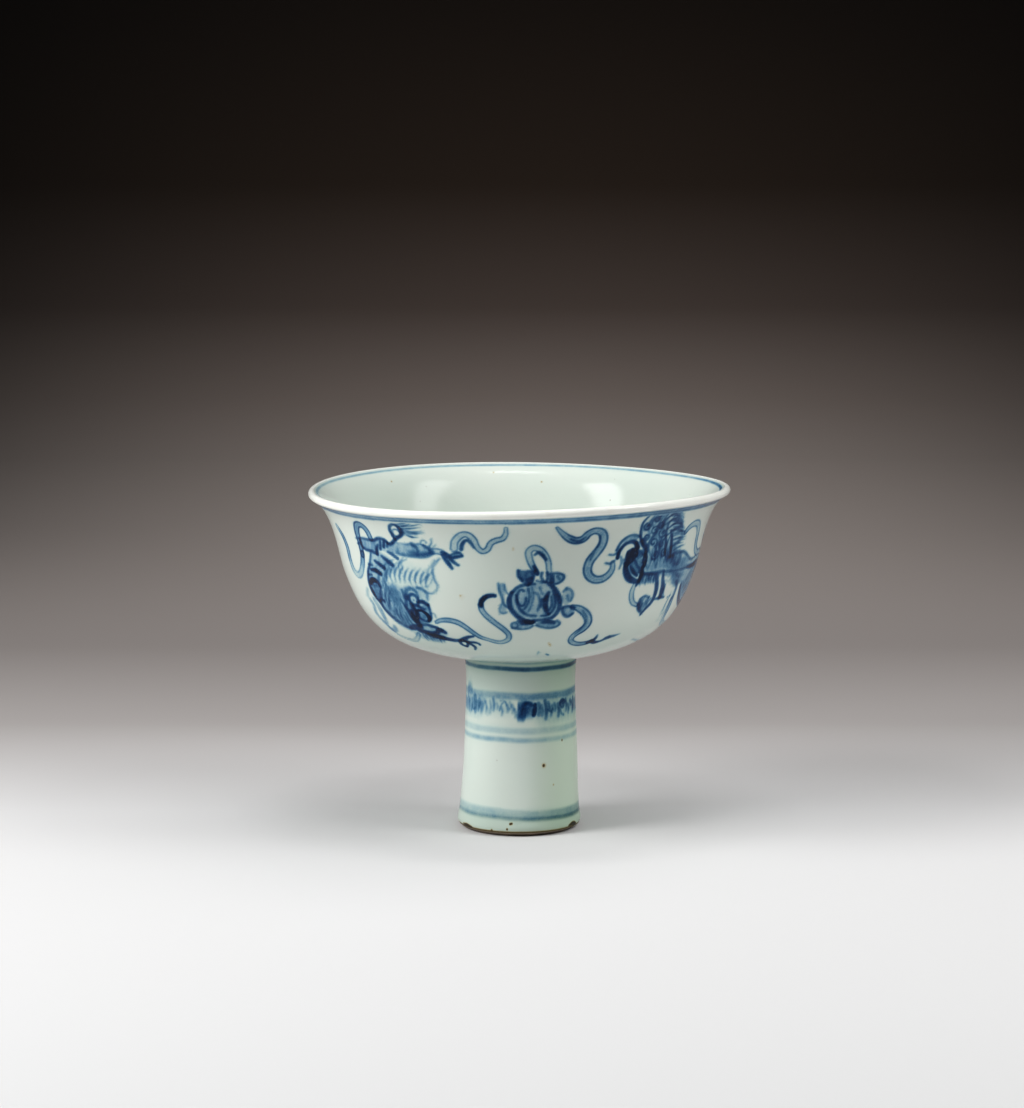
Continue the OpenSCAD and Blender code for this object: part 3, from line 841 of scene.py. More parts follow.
def rolling_face(b):
    """Its face."""
    b.wash([(-44, 58), (-40, 59), (-35, 58.6), (-33.4, 55), (-33.4, 50), (-34.6, 45), (-38, 43.6),
            (-44.6, 45), (-45.4, 52)], .17, .8)
    b.wash([(-44.4, 57), (-41.8, 58.4), (-41.6, 54), (-40.6, 51.4), (-37, 51.4), (-34.2, 52), (-33.8, 47),
            (-36, 44.2), (-41, 43.8), (-44.8, 46)], .22, .8)
    b.ring((-39.6, 53.6), 2.0, 2.2, 1.2, .66)
    b.dot(-39.5, 53.5, .35, .35)
    b.line([(-42.6, 53.6), (-42, 56.6), (-40, 58), (-37.8, 57.4), (-37.2, 55.4), (-37.4, 54)],
           [1.1, 1.5, 1.4, 1.1, .9], [.5, .42, .4, .42, .46])
    b.line([(-43.8, 57), (-43.2, 53.4), (-43.8, 50.8)], [1.1, 1.5, 1.3], [.4, .5, .6])
    b.line([(-45.8, 52.8), (-44.9, 50.9), (-44.3, 49.4)], 1.1, [.5, .7, .6])
    b.line([(-41.8, 51.6), (-41.4, 49.8), (-42.2, 48)], 1.0, .6)
    b.line([(-36.8, 58.8), (-34.6, 58.5), (-33.2, 57), (-33.1, 54.6)], [1.0, 1.3, 1.2], [.4, .34, .3])
    b.line([(-38, 52.9), (-35.8, 53.2), (-33.9, 52.1)], [1.2, 1.6, 1.2], [.75, .9, .8])
    b.line([(-38.2, 51.2), (-36.8, 50.3), (-35.4, 50.2)], [1.2, 1.2, .8], [.8, .75, .5])
    b.line([(-33.7, 52.2), (-33.6, 49.4), (-34.1, 46.8)], 1.0, [.7, .5, .6])
    b.line([(-40.8, 51.6), (-40.4, 49.6), (-39.9, 48), (-40.8, 46)], [1.0, 1.4, 2.0, 1.8],
           [.7, .95, 1.3, 1.2], .8)
    b.line([(-44.4, 50.2), (-43.2, 47.6), (-42, 45), (-41.2, 42.6)], [1.4, 2.4, 3.0, 2.4],
           [.6, .85, 1.1, .95], 1.0)
    b.line([(-39.6, 49.2), (-38, 49.5), (-36.6, 49), (-35.4, 47.9), (-35, 46.3), (-35.8, 45.2)],
           [1.0, 1.0, 1.2, 1.6, 1.7, 1.0], [1.2, 1.4, 1.5, 1.5, 1.5, 1.2], .5)
    b.line([(-39.8, 46.8), (-38.4, 45.5), (-36.8, 44.9), (-35.6, 45.4)], .9, [.85, .7, .6, .9])
    b.wash([(-39, 48.4), (-36.8, 48.2), (-36.2, 46.6), (-38, 46.2)], .24, .4)
    b.wash([(-44, 48.6), (-41.6, 49.6), (-39, 47.4), (-38.6, 45), (-40.4, 43.4), (-43.4, 44)], .45, .6)
    b.line([(-33.4, 48.8), (-32.2, 48.6), (-32, 47.2)], .8, .3)


def rolling_foreleg(b):
    """Its chest and foreleg, and the claws."""
    b.wash([(-47, 41.6), (-43.6, 42.8), (-39.4, 43.6), (-36, 43.4), (-33.6, 42.6), (-31, 42), (-29.4, 40.6),
            (-30.2, 38.8), (-33, 37), (-37, 36.8), (-42, 38), (-46, 39.6)], .26, .9)
    b.line([(-46.8, 40.6), (-43.6, 41.4), (-41, 41.8)], [2.0, 2.8, 2.2], [.6, .8, .8], .9)
    b.line([(-40.6, 43), (-37.6, 43.3), (-34.6, 42.7), (-32.8, 42.2)], 1.3, [.7, .6, .75, .9])
    b.line([(-43, 39.8), (-39, 39.3), (-36, 39.1), (-33.6, 40.2)], [1.8, 2.2, 2.2, 1.8], [.8, .9, 1.0, .9],
           .8)
    b.line([(-33.4, 41), (-31.8, 41.2), (-30.4, 40.4)], [1.8, 2.4, 1.6], [.8, 1.2, .9])
    b.line([(-39, 38.2), (-36, 37.7), (-33.4, 37.3), (-30, 36.6), (-27, 36.2), (-24.6, 36.6)],
           [1.8, 2.6, 2.6, 2.0, 1.8, 1.6], [.85, 1.2, 1.15, .85, .75, .8])
    b.hairs([(-42, 38.6), (-32.6, 36.8)], [(-41.6, 34.6), (-33.4, 33.6)], 7, 1.2, .3, .08)
    b.wash([(-47, 38.6), (-40, 38), (-33, 36.8), (-33.4, 34.6), (-40, 34), (-46, 36)], .2, 1.2)
    b.line([(-19, 39.2), (-21.4, 38.6), (-24, 37.2), (-25.6, 35.6), (-25.2, 33.8), (-23.6, 32.6)],
           [1.0, 1.4, 1.5, 1.6, 1.4, 1.0], [.85, .8, .85, .9, .85, .8])
    b.line([(-23.8, 36.6), (-22.4, 35.4), (-22.8, 33.8), (-23.6, 32.8)], 1.1, .85)
    b.line([(-24, 36.4), (-21.4, 35.8), (-19, 35.6), (-17.6, 35), (-17.3, 34.2)], [1.4, 1.3, 1.2, .9],
           [.85, .8, .9, .75])
    b.line([(-22.4, 35.6), (-20.6, 33.8), (-19.9, 32.2), (-20.6, 30.4)], [1.2, 1.3, 1.3, .8],
           [.85, .85, .85, .65])
    b.line([(-22, 37.4), (-22.8, 35.6)], .8, .5)


def rolling_far_side(b):
    """Pale hind parts that the turn of the bowl hides from the front."""
    b.line([(-64, 55), (-66, 52), (-64.5, 48.5), (-66, 44.5), (-64, 41), (-62, 37.4), (-58.6, 37.8),
            (-57.2, 39.4)], [1.6, 2.2, 2.4, 2.6, 2.4], [.18, .24, .28, .3, .3])
    b.line([(-62, 51), (-60.6, 46), (-61.6, 41)], [2.4, 3.2, 2.4], [.22, .28, .24])
    b.ribbon([(-62, 38.4), (-60.4, 35), (-56, 33), (-51, 32.8), (-47.4, 34.8), (-44.6, 37.6)],
             [1.4, 1.8, 1.8, 1.6], [.3, .34, .3, .34, .5], .5)


def lion_rolling(b):
    """The lion that tumbles head down after the ball, on the left of the front."""
    rolling_loop(b)
    rolling_rump(b)
    rolling_tail(b)
    rolling_hind_leg(b)
    rolling_spine(b)
    rolling_belly(b)
    rolling_mane(b)
    rolling_face(b)
    rolling_foreleg(b)
    rolling_far_side(b)


def ribbon_between(b):
    """Ribbon from the rolling lion's mouth to the ball, and the loose one over it."""
    b.ribbon([(-32.6, 45), (-30.4, 46), (-27, 46.3), (-23.8, 45.6), (-21.2, 43.8), (-18.6, 41.2),
              (-16, 38.9), (-13, 37.6), (-10, 36.4), (-7.4, 36.3), (-5, 37.8), (-4.5, 40.2), (-6, 42.6),
              (-9, 45.6), (-11.6, 48.2), (-13.4, 51), (-13.7, 53.4)],
             [1.2, 1.9, 2.2, 2.0, 1.8, 1.6, 2.0, 2.0, 2.0, 2.0, 2.0, 1.8],
             [.6, .7, .65, .65, .85, .5, .45, .6, .7, .6, .6, .75], .5)
    b.line([(-13.6, 53), (-13.2, 55), (-11.4, 56.8), (-9.4, 57.3), (-8.5, 57.2)], [1.5, 1.7, 1.6, 1.4],
           [1.2, 1.35, 1.25, 1.0])
    b.ribbon([(-21.2, 74.8), (-20.6, 77.6), (-18.4, 80.2), (-16.2, 80.6), (-14.4, 78.4), (-13.6, 75.8),
              (-12, 74), (-10.2, 74.8), (-9, 77.2), (-7.2, 78.4), (-5.2, 79.2), (-4.2, 81.2), (-4, 83.6)],
             [2.6, 2.4, 2.4, 2.4, 2.0, 1.8, 1.8, 2.0, 1.6, .9], [.42, .5, .55, .55, .7, .6, .65, .6], .35)
    b.line([(-18.8, 74.6), (-18.3, 76.6), (-17, 78.2), (-15.8, 77.6), (-14.6, 75.4)], [1.3, 1.2, 1.0, .8],
           [.9, .85, .8, .5])


def ball_in_cords(b):
    """The ball itself, in its cords."""
    b.wash([(-3.6, 55), (-2, 59.5), (1.6, 62), (5.4, 62.4), (9.6, 61.6), (12.6, 58.6), (13.8, 54.6),
            (13, 50), (10.4, 47), (5.4, 46), (1, 47.2), (-2.4, 50.6)], .24, .8)
    b.line([(-2.6, 58.6), (-3.6, 55.6), (-3.3, 52.4), (-1.6, 49.4), (.8, 47.2), (4, 46.2)],
           [1.2, 1.8, 1.6, 1.7, 1.9], [.8, .95, .85, .9, 1.1])
    b.line([(1.6, 46.6), (3.4, 46.1), (4.8, 46.3)], [1.6, 1.8, 1.2], [1.0, 1.2, 1.0])
    b.line([(-2.6, 58.4), (-.6, 60.6), (2, 61.6), (5, 61.8)], [1.0, 1.2, .9], [.7, .6, .5])
    b.line([(9.6, 62), (11.6, 60), (13.4, 56.8), (13.9, 53.4), (13, 50.2), (11.4, 48.2)],
           [1.2, 1.6, 1.7, 1.5, 1.3], [.85, .9, .85, .75, .7])
    b.line([(4.6, 47), (7.4, 47.2), (10.4, 48)], 1.1, .6)
    b.line([(-1.2, 57.6), (-.8, 54), (.4, 51.2), (2.6, 49.4), (5.4, 49)], [.8, .9, 1.0, .9],
           [.65, .7, .75, .6])
    b.line([(11.2, 59), (12.2, 55.4), (11.8, 52), (10, 49.6), (7.4, 49)], [.8, 1.0, .9, .8],
           [.6, .75, .7, .55])
    b.ring((.6, 56.4), 1.5, 3.2, .75, .7, 60, 300)
    b.line([(2.8, 60), (3.3, 57), (2.6, 54), (1.3, 51.8)], .8, .6)
    b.line([(4, 60.6), (4.5, 57), (3.8, 53.4), (2.8, 50.6)], .7, .38)
    b.line([(4.8, 58.6), (6.2, 57.6), (6.8, 55), (6.2, 51.6)], .8, .45)
    b.line([(6.6, 60.4), (7.6, 58)], .7, .4)
    b.line([(9.8, 58.6), (8.9, 56.2), (8.7, 53.6), (9.3, 51), (10, 49.8)], [.9, 1.9, 1.8, 1.1],
           [.8, 1.05, .95, .75])
    b.line([(7.6, 56), (7.2, 53)], .9, .6)
    b.line([(10.8, 57), (11, 53.6), (10.2, 51.4)], .8, .55)


def ball_loop(b):
    """The loop over the ball."""
    b.ribbon([(5.5, 66), (4.2, 68.2), (3.1, 71), (2.7, 73.8), (4, 75.4), (6, 75), (7.8, 73), (9.1, 70),
              (9.6, 66)], [1.5, 2.0, 2.2, 2.2, 2.0, 1.8, 1.6], [.8, .65, .55, .45, .5, .6, .6, .55, .45],
             .42)
    b.line([(4.5, 68.4), (5.3, 66.4), (5.8, 65.4)], [1.0, 1.3, 1.0], [.9, 1.05, .8])
    b.line([(4.6, 72.8), (5.8, 73.7), (7, 72.8), (8.4, 71)], [.8, 1.2, 1.2, .8], [.6, .9, .85, .7])


def ball_bows(b):
    """The bows on both sides of the loop."""
    b.wash([(-.7, 67), (1.6, 66.8), (3.4, 67.1), (4.8, 66), (4.9, 63.6), (3.6, 61.4), (2, 61), (.8, 62.8),
            (-.4, 64.4)], .62, .5)
    b.line([(-.5, 66.8), (-.4, 64.8), (.8, 63)], 1.0, .75)
    b.line([(3.4, 66.4), (4.6, 65)], .8, .35)
    b.wash([(1.6, 63.6), (4.2, 64.6), (4, 62.2), (2.4, 61)], .8, .45)
    b.wash([(9.8, 65.4), (12, 66), (14.4, 65.4), (14.8, 63.8), (13.2, 62), (11, 61.6), (10, 63)], .24, .4)
    b.line([(10, 65.6), (12.4, 65.8), (14.5, 65), (14.6, 63.6), (13.2, 62.2), (11.4, 61.6)], .8, .6)
    b.line([(10.6, 64.8), (10.6, 62.6)], [1.4, 1.8], [.75, .95])
    b.line([(12.4, 64.6), (13.2, 63.6)], .8, .5)
    b.line([(7.2, 66), (7, 64.4), (7.8, 62.8)], .9, .6)
    b.line([(9, 66), (9.2, 64), (8.8, 62.6)], 1.0, .7)
    b.line([(5.6, 63), (7, 62.6), (8.8, 62.4)], .8, .55)


def ball_tassels(b):
    """The tassels round the ball."""
    b.wash([(-6.9, 61.6), (-5.4, 62), (-4.7, 59.4), (-5.2, 56), (-4.8, 52.6), (-5, 50.2), (-7, 50),
            (-6.8, 53), (-6.2, 56), (-7, 59.4)], .26, .3)
    b.line([(-7, 62), (-6.8, 59.4), (-6, 56.6), (-5.6, 54), (-4.2, 52.6)], .8, [.4, .5, .6, .55])
    b.line([(-5, 61.6), (-4.6, 59.4), (-4, 58)], .6, .4)
    b.line([(-6.6, 53.6), (-7.2, 50.8), (-6, 49.9), (-4.6, 50.4)], .7, .38)
    b.wash([(14.4, 56), (14.8, 59), (16.2, 60), (17.8, 58.8), (18.2, 56.4), (17.4, 54.2), (15.4, 53.4)],
           .24, .3)
    b.line([(14.8, 58.8), (16, 60), (17.6, 59.2), (18.4, 57.2), (17.8, 55)], .8, .45)
    b.line([(15.8, 60.2), (16, 59.2)], .6, .45)
    b.line([(16.4, 57.4), (16.8, 55)], .6, .35)
    b.wash([(14.2, 51.6), (15.6, 48.4), (17.8, 48), (19.6, 50), (19.4, 52.4), (17, 53.4), (15, 53)], .3, .5)
    b.line([(15, 52), (15.6, 49.6), (17.4, 48.6), (19, 49.8)], 1.0, .6)
    b.line([(15.4, 52.6), (17.4, 52.8), (19.4, 52.2)], 1.0, .6)
    b.wash([(-3.5, 44.2), (-2.4, 46.3), (0, 46.6), (2, 45.6), (4.4, 44.6), (2.6, 43.2), (-1, 42.9)], .32,
           .3)
    b.ring((-2.2, 44.8), 1.2, 1.3, .7, .55)
    b.line([(-3.2, 43.6), (0, 43), (3, 43.4), (4.6, 44.6)], .8, .5)
    b.line([(-.8, 46.8), (.6, 45.8), (2.4, 45.4)], [1.0, 1.6, 1.0], [.7, .8, .7])
    b.wash([(5, 45.6), (8, 46.4), (12, 47), (14.4, 46), (14.4, 44.6), (11.6, 43.4), (8, 43.8), (6, 44.4)],
           .34, .3)
    b.line([(5.6, 44.8), (8, 43.8), (11, 43.4), (13.6, 44.2), (14.6, 45.6), (13.4, 47)], .8, .5)
    b.line([(8, 46.2), (10.4, 46.5), (12.2, 46)], [1.2, 1.9, 1.4], [.6, .8, .6])


def brocade_ball(b):
    """The ball in its cords, with bows and tassels all round it."""
    ball_in_cords(b)
    ball_loop(b)
    ball_bows(b)
    ball_tassels(b)


def ribbons_right(b):
    """Ribbons that run from the ball to the striding lion."""
    b.ribbon([(18.6, 52.6), (21, 51.8), (23.4, 50), (25.2, 47.4), (25.6, 44.8), (24.4, 42.4), (22.2, 40.4),
              (20.8, 38.4), (20.9, 36.4), (22.6, 34.8), (25.2, 34), (28, 34.1), (30.4, 35)],
             [1.6, 2.6, 3.0, 3.0, 2.8, 2.4, 2.2, 2.4, 2.4, 2.2],
             [.75, .7, .65, .7, .9, .7, .75, .75, .85, .85], .45)
    b.line([(22.6, 50.6), (24.4, 48), (24.8, 45), (23.4, 42.4), (21.6, 39.8)], .7, [.3, .5, .55, .5, .3])
    b.line([(29, 34.4), (31, 35.4), (31.8, 37), (31.8, 38.4)], [1.4, 2.2, 1.5, .7], [.85, .95, .8, .6])
    b.line([(30.4, 35.4), (32.6, 34), (35, 34.3), (37, 35.4), (39.4, 36.4), (41.6, 36.8), (43.6, 37.4)],
           [1.6, 2.0, 1.4, 1.4, 1.8, 1.3, .7], [.95, .95, .7, .6, .75, .6, .25])
    b.line([(36.6, 36.2), (38.4, 37)], .9, .6)
    b.ribbon([(11.2, 83.6), (12.8, 81.4), (15, 79.2), (17.6, 78), (20, 78.6), (21.6, 80.6), (23.6, 81.6),
              (25.8, 80.8), (26.9, 78.4), (26.6, 75.6), (25, 72.8), (23.2, 70), (22.6, 67), (23.4, 64.4),
              (25.6, 62.8), (28.2, 62.8), (30.4, 64.2), (31.6, 66.4), (31.4, 68.6)],
             [.8, 1.8, 2.6, 2.6, 2.4, 2.6, 2.9, 3.0, 3.0, 3.0, 3.0, 2.9, 2.6, 2.2, 1.6],
             [.8, .7, .85, .9, .7, .7, .65, .65, .65, .75, .7, .65, .65, .6, .5], .5)
    b.line([(16, 78.6), (18.6, 77.6), (20.6, 79)], [.8, 1.2, .8], [.5, .7, .5])
    b.line([(25.6, 79.4), (25.8, 76.6), (24.4, 73.4), (23.2, 70.4)], .7, .5)


def striding_body(b):
    """The body of the striding lion."""
    b.wash([(45, 66.5), (52, 66.5), (58, 68.6), (64, 69.2), (69, 68), (73, 65.6), (79, 64.4), (86, 65),
            (92, 63), (93, 57), (89, 52), (80, 52.4), (74, 54.4), (70, 57), (64, 60), (58, 61), (50, 61.8),
            (45, 62.6)], .24, .9)
    b.hairs([(57, 68), (57.6, 63.4), (59, 59)], [(75, 65.4), (74, 61), (72, 55.6)], 9, 1.5, .2, .03)
    b.wash([(58.4, 68.4), (64, 68.8), (65.4, 66), (63, 63.8), (59, 64.6)], .42, .8)
    b.line([(57, 68.2), (62, 69.2), (67, 68.8), (71, 66.8), (75, 65), (80, 65.2)], [1.2, 1.0, .9],
           [.7, .55, .5])
    b.line([(43, 64.2), (46, 63), (50, 62.7), (53, 62.9), (55.6, 63)], [1.1, 1.2, 1.2, 1.1],
           [.85, .75, .7, .6])
    b.line([(55.6, 62.9), (61, 62.4), (67, 62.2), (73, 62.4)], [1.0, .8, .8], [.65, .5, .5])
    b.line([(72.6, 62.4), (77, 62.2), (82, 62.3), (87, 62.6)], [1.2, 1.8, 2.2, 1.6], [.8, .95, 1.1, .8])
    b.wash([(61, 61.8), (66, 60.8), (69, 57), (66, 55.4), (62, 58.6)], .35, .7)


def striding_chest(b):
    """The fur of its chest."""
    b.wash([(44, 62.6), (53, 62.6), (52.4, 59.4), (47.6, 59), (44, 59.4)], .28, .7)
    b.hairs([(44.6, 62.4), (51, 62.4)], [(44.6, 58.8), (51.4, 58.8)], 6, 1.0, .5, .1)


def striding_forelegs(b):
    """Its forelegs."""
    b.ribbon([(42.2, 59.4), (41.6, 56.6), (42, 54), (43.4, 51.8), (45.6, 50.6)], [1.5, 1.9, 2.0, 1.8, 1.3],
             [.45, .5, .55, .6, .7], .4)
    b.wash([(45.4, 51.4), (47, 48.4), (49.8, 46.2), (52, 48.6), (53.6, 50.8), (52, 53.2), (48.4, 54),
            (46, 52.8)], .2, .4)
    b.hairs([(47.6, 53.4), (52.4, 52.8)], [(48.4, 47.6), (51.4, 48)], 5, .8, .4, .1)
    b.hairs([(64.6, 52.4), (69, 52.8)], [(66, 41), (72, 40.4)], 6, 1.0, .2, .1)
    b.line([(46.8, 52.4), (46.6, 50.6), (47.4, 48.8), (48.4, 47.8)], [1.2, 1.5, 1.5, 1.0],
           [.6, .75, .8, .7])
    b.line([(48.6, 50.8), (48.4, 49), (49.8, 46.2)], .8, .5)
    b.line([(49.8, 46), (51.2, 48.2), (53.2, 50.4), (54, 53), (53.9, 56.4), (52.9, 59.4), (52, 62)],
           [1.0, 1.4, 1.8, 2.0, 2.0, 1.6], [.5, .65, .75, .8, .75, .65])
    b.line([(46.4, 53), (48.6, 54), (51, 53)], .8, .5)
    b.line([(55.6, 62), (56.2, 59.6), (57.3, 57), (57.8, 54.4), (57.6, 52.4)], [1.2, 1.6, 2.2, 2.6, 2.0],
           [.65, .7, .75, .85, .8])
    b.line([(55, 51.9), (58, 52.2), (60.6, 52)], [.8, 1.4, .9], [.5, .7, .6])
    b.line([(58.8, 57.4), (59, 54.6), (59.6, 53)], .7, .45)


def striding_raised_paw(b):
    """Its raised paw."""
    b.line([(32.2, 73.2), (33.4, 76), (35.6, 78), (38, 78.5), (40.4, 77.6)], [.9, 1.0, .9], [.75, .65, .6])
    b.line([(33, 70.4), (33.4, 72.8), (35, 75), (37.4, 75.9), (39.4, 75.2), (40.4, 73.4)],
           [1.4, 1.2, 1.1, 1.4, 1.9], [1.2, .9, .8, 1.1, 1.5])
    b.wash([(33, 73), (35.2, 77), (38, 78), (40, 76.8), (38, 76), (35.2, 75.2), (33.8, 72.6)], .34, .4)
    b.line([(29.8, 71.8), (31.4, 71.6), (32.8, 72.4)], .8, .55)
    b.line([(28.8, 68.8), (30.6, 68.4), (32, 69.4)], .8, .55)
    b.line([(34.4, 70.6), (34.8, 68.2), (34.3, 66.2)], .8, .42)
    b.line([(35.4, 69.6), (36, 67.6)], .7, .35)


def striding_head(b):
    """Its head."""
    b.wash([(36.4, 72.4), (38.4, 73.4), (40.4, 72.8), (41.2, 70.6), (40, 68.8), (38.6, 67.4), (37, 66.6),
            (36, 69.2)], 1.5, .4)
    b.wash([(43.9, 71.4), (45.2, 71), (45.9, 68.4), (45.4, 65.8), (44.4, 65.2), (43.7, 68)], 1.5, .5)
    b.wash([(40.4, 72.6), (43.4, 71.6), (43.4, 69.6), (40.8, 69.2)], .8, .6)
    b.wash([(38.4, 68), (41, 69), (43.6, 68.6), (43.4, 64.4), (41.4, 62.6), (38.6, 64.6)], .5, .6)
    b.line([(36.7, 67.8), (37.2, 64.8), (38.8, 62.2), (41.2, 60.8), (43.6, 60.2)],
           [1.6, 2.4, 2.6, 2.2, 1.4], [1.3, 1.0, .95, .95, .9])
    b.line([(38.8, 66.6), (40.4, 64.4), (42.2, 62.8)], [.9, 1.3, 1.2], [.7, .85, .9])
    b.line([(44.2, 65.6), (44.3, 63), (43.8, 60.8), (43, 58.8)], [1.4, 1.7, 1.6, 1.0], [1.4, 1.3, 1.2, .8])
    b.line([(40.4, 68.6), (41.6, 66.6), (43, 65.2)], .9, .8)


def striding_mane(b):
    """Its great mane, with curls at the front and locks that fly back."""
    b.wash([(40.2, 82), (40.6, 85.4), (44, 87.4), (49, 87.4), (54, 85.4), (58, 83), (61, 80), (63, 76.6),
            (62, 73), (60, 70), (58, 67.4), (53, 66.6), (48, 66.6), (45.6, 68), (44.6, 71.4), (42, 73.8),
            (40.4, 77.6)], .15, 1.0)
    b.wash([(45.8, 86), (50, 86.6), (52, 80), (53, 74), (50.6, 70), (47, 73), (45.6, 80)], .2, 1.2)
    b.wash([(45.6, 65), (52, 64.4), (60, 65), (60.6, 70), (57, 73), (51, 72), (47, 71)], .2, 1.4)
    b.wash([(55.4, 72), (58.6, 73), (60.8, 70), (59.4, 67.2), (56, 67.4)], .3, .8)
    b.line([(41.4, 86.4), (40.2, 83.4), (40.3, 80), (41, 77), (42.6, 74)], [.8, .9, .9, 1.0],
           [.7, .8, .8, .85])
    b.curl((42.8, 81.4), 1.7, 1.2, .8, .75, 120)
    b.curl((46, 84.2), 1.4, 1.2, .8, .75, 60)
    b.curl((43.4, 77), 1.4, 1.3, .7, .7, 200)
    b.line([(41.6, 75.6), (43.4, 74), (44.8, 71.4)], [1.6, 2.0, 1.4], [.7, .8, .9], .8)
    b.hairs([(44, 87.2), (54, 86.4)], [(45, 78), (53, 77)], 6, .9, .5, .16)
    b.curl((48.6, 81.6), 1.6, 1.1, .8, .6, 250)
    b.hairs([(46.2, 78), (56.4, 77.4)], [(46.4, 66.2), (58.6, 66.6)], 7, 1.0, .46, .16)
    b.curl((51.4, 73.6), 1.5, 1.1, .8, .6, 80)
    for x, y, around, start in ((46.4, 79.4, 1.9, 30), (50.8, 77.8, 2.0, 150), (47.2, 74.6, 1.9, 300),
                                (49.4, 69.8, 1.9, 220), (53.6, 70, 1.7, 100)):
        b.curl((x, y), around, 1.1, .55, .8, start)
    for x, y in ((49.6, 84), (50.6, 81.4), (51.8, 79), (53, 76.6)):
        b.line([(x, y), (x + 3.4, y + 2.2), (x + 6.6, y + 1.8), (x + 9, y - .4), (x + 10, y - 3)],
               [.6, .9, .7, .5], [.5, .75, .5, .25, .05])
    b.hairs([(47.4, 72), (55, 71.6)], [(47, 65.4), (56, 65.4)], 6, .8, .45, -.1)
    b.line([(52.4, 76.8), (53.6, 73.4), (54, 69.4)], [.9, 1.3, 1.1], [.6, .85, .6])
    b.line([(54.6, 78.4), (56.2, 75), (57, 71.4), (57.6, 68)], [.9, 1.3, 1.5, 1.1], [.56, .7, .85, .7])
    b.hairs([(51, 86), (53.6, 82.4), (55, 78.8), (56.6, 75), (58, 71.4), (58.6, 69)],
            [(58.4, 83.4), (62.4, 78), (64, 76), (65, 74.4), (65, 72.6), (64.4, 70.4)], 14, .85, .55, -.07)


def striding_hind_parts(b):
    """Its hind legs and tail, and the ribbon over its back."""
    b.wash([(72, 55), (75, 58.4), (80, 60.6), (87, 61), (92, 58), (91, 51), (86, 46.6), (81, 47), (76, 50)],
           .27, .9)
    b.line([(71.8, 55.4), (73.6, 51.8), (76.6, 48.8), (80.6, 46.6), (86, 45.2), (90, 46.8)],
           [1.4, 2.0, 1.8, 1.6], [.8, .95, .85, .8, .7])
    b.wash([(73.4, 53.8), (78, 54), (84, 52.4), (86, 50.4), (80, 49.4), (76, 51)], .2, .8)
    b.line([(66, 58), (68, 55.4), (68.4, 52), (67.6, 49.6)], [1.2, 1.8, 1.8, 1.3], [.4, .5, .5, .4])
    b.ribbon([(68, 50.6), (69, 47), (69.8, 43), (71.6, 40), (75.4, 38), (80, 37), (86, 36.2)],
             [2.0, 2.2, 2.4, 2.2], [.4, .42, .36, .34, .34], .6)
    b.wash([(82, 47.6), (87, 48.4), (90, 45.4), (89.4, 42), (92, 39.4), (91, 37.4), (86.6, 37.6),
            (85, 40.6), (85.4, 43.6), (82.6, 45.4)], .4, .5)
    b.line([(83, 46.4), (85.2, 43.6), (84.8, 40.6), (86.4, 37.6), (90.6, 37)], [1.0, 1.4, 1.2, 1.4, .9],
           [.6, .8, .7, .8, .6])
    b.line([(90.6, 47), (90.2, 43.6), (90, 41.4), (92.4, 39.2), (91.4, 37.2)], [.9, 1.1, 1.0, .9],
           [.6, .7, .6, .6])
    b.line([(87.6, 39.6), (87.2, 38)], .7, .6)
    b.line([(89.4, 39.4), (89.2, 37.8)], .7, .6)
    b.hairs([(84, 50.4), (90, 51)], [(83.6, 46.6), (90.4, 46.4)], 6, .9, .42, .12)
    b.line([(87.6, 62.4), (90, 66), (91, 69.6)], [1.6, 1.3, 1.0], [.7, .6, .5])
    b.hairs([(89.4, 65.4), (90.6, 67.6), (91, 69.4)], [(86, 72.4), (89.4, 77.4), (94.4, 74.6)], 8, 1.1, .5,
            .16)
    b.dot(63.4, 51.6, .5, .4)
    b.dot(65.2, 52, .4, .4)
    b.line([(86, 60.8), (89, 60), (91.4, 57.4), (92, 53.6), (90.6, 50)], [.9, 1.2, 1.1], [.5, .65, .6])
    b.ribbon([(63.8, 76.8), (66, 78.7), (69.4, 79.6), (73, 78.6), (75.4, 75.4), (76.4, 71.6), (77.8, 68.4),
              (81.4, 66.4), (86, 66.2), (90, 64)], [2.0, 2.6, 2.8, 2.8, 2.6, 2.4, 2.0],
             [.75, .55, .5, .52, .55, .55, .55, .6], .5)


def stray_strokes(b):
    """Pale strokes that went astray under the figures."""
    b.line([(57, 31.9), (62, 30.4), (67, 28.8), (73, 27.4)], [.8, 1.3, .9], [.25, .32, .2])
    b.line([(8, 29.4), (8.4, 28), (8.2, 26.8)], 1.1, [.2, .3, .2])
    b.line([(12.2, 27), (13.2, 26.2), (14, 24.8)], [1.0, 1.4, .8], [.35, .5, .25])


def lion_striding(b):
    """The lion with the great mane that strides to the left, on the right of the front."""
    striding_body(b)
    striding_chest(b)
    striding_forelegs(b)
    striding_raised_paw(b)
    striding_head(b)
    striding_mane(b)
    striding_hind_parts(b)
    stray_strokes(b)


# Painted pieces: the tones of a line are spaced evenly round the turn from the back

FIGURES = (lion_rolling, ribbon_between, brocade_ball, ribbons_right, lion_striding)
LONE_BALL = 101.6       # mm round from the front to the ball that fills the gap on the right
FOOT_SLANT = -0.5       # mm by which the line round the foot is higher at the right
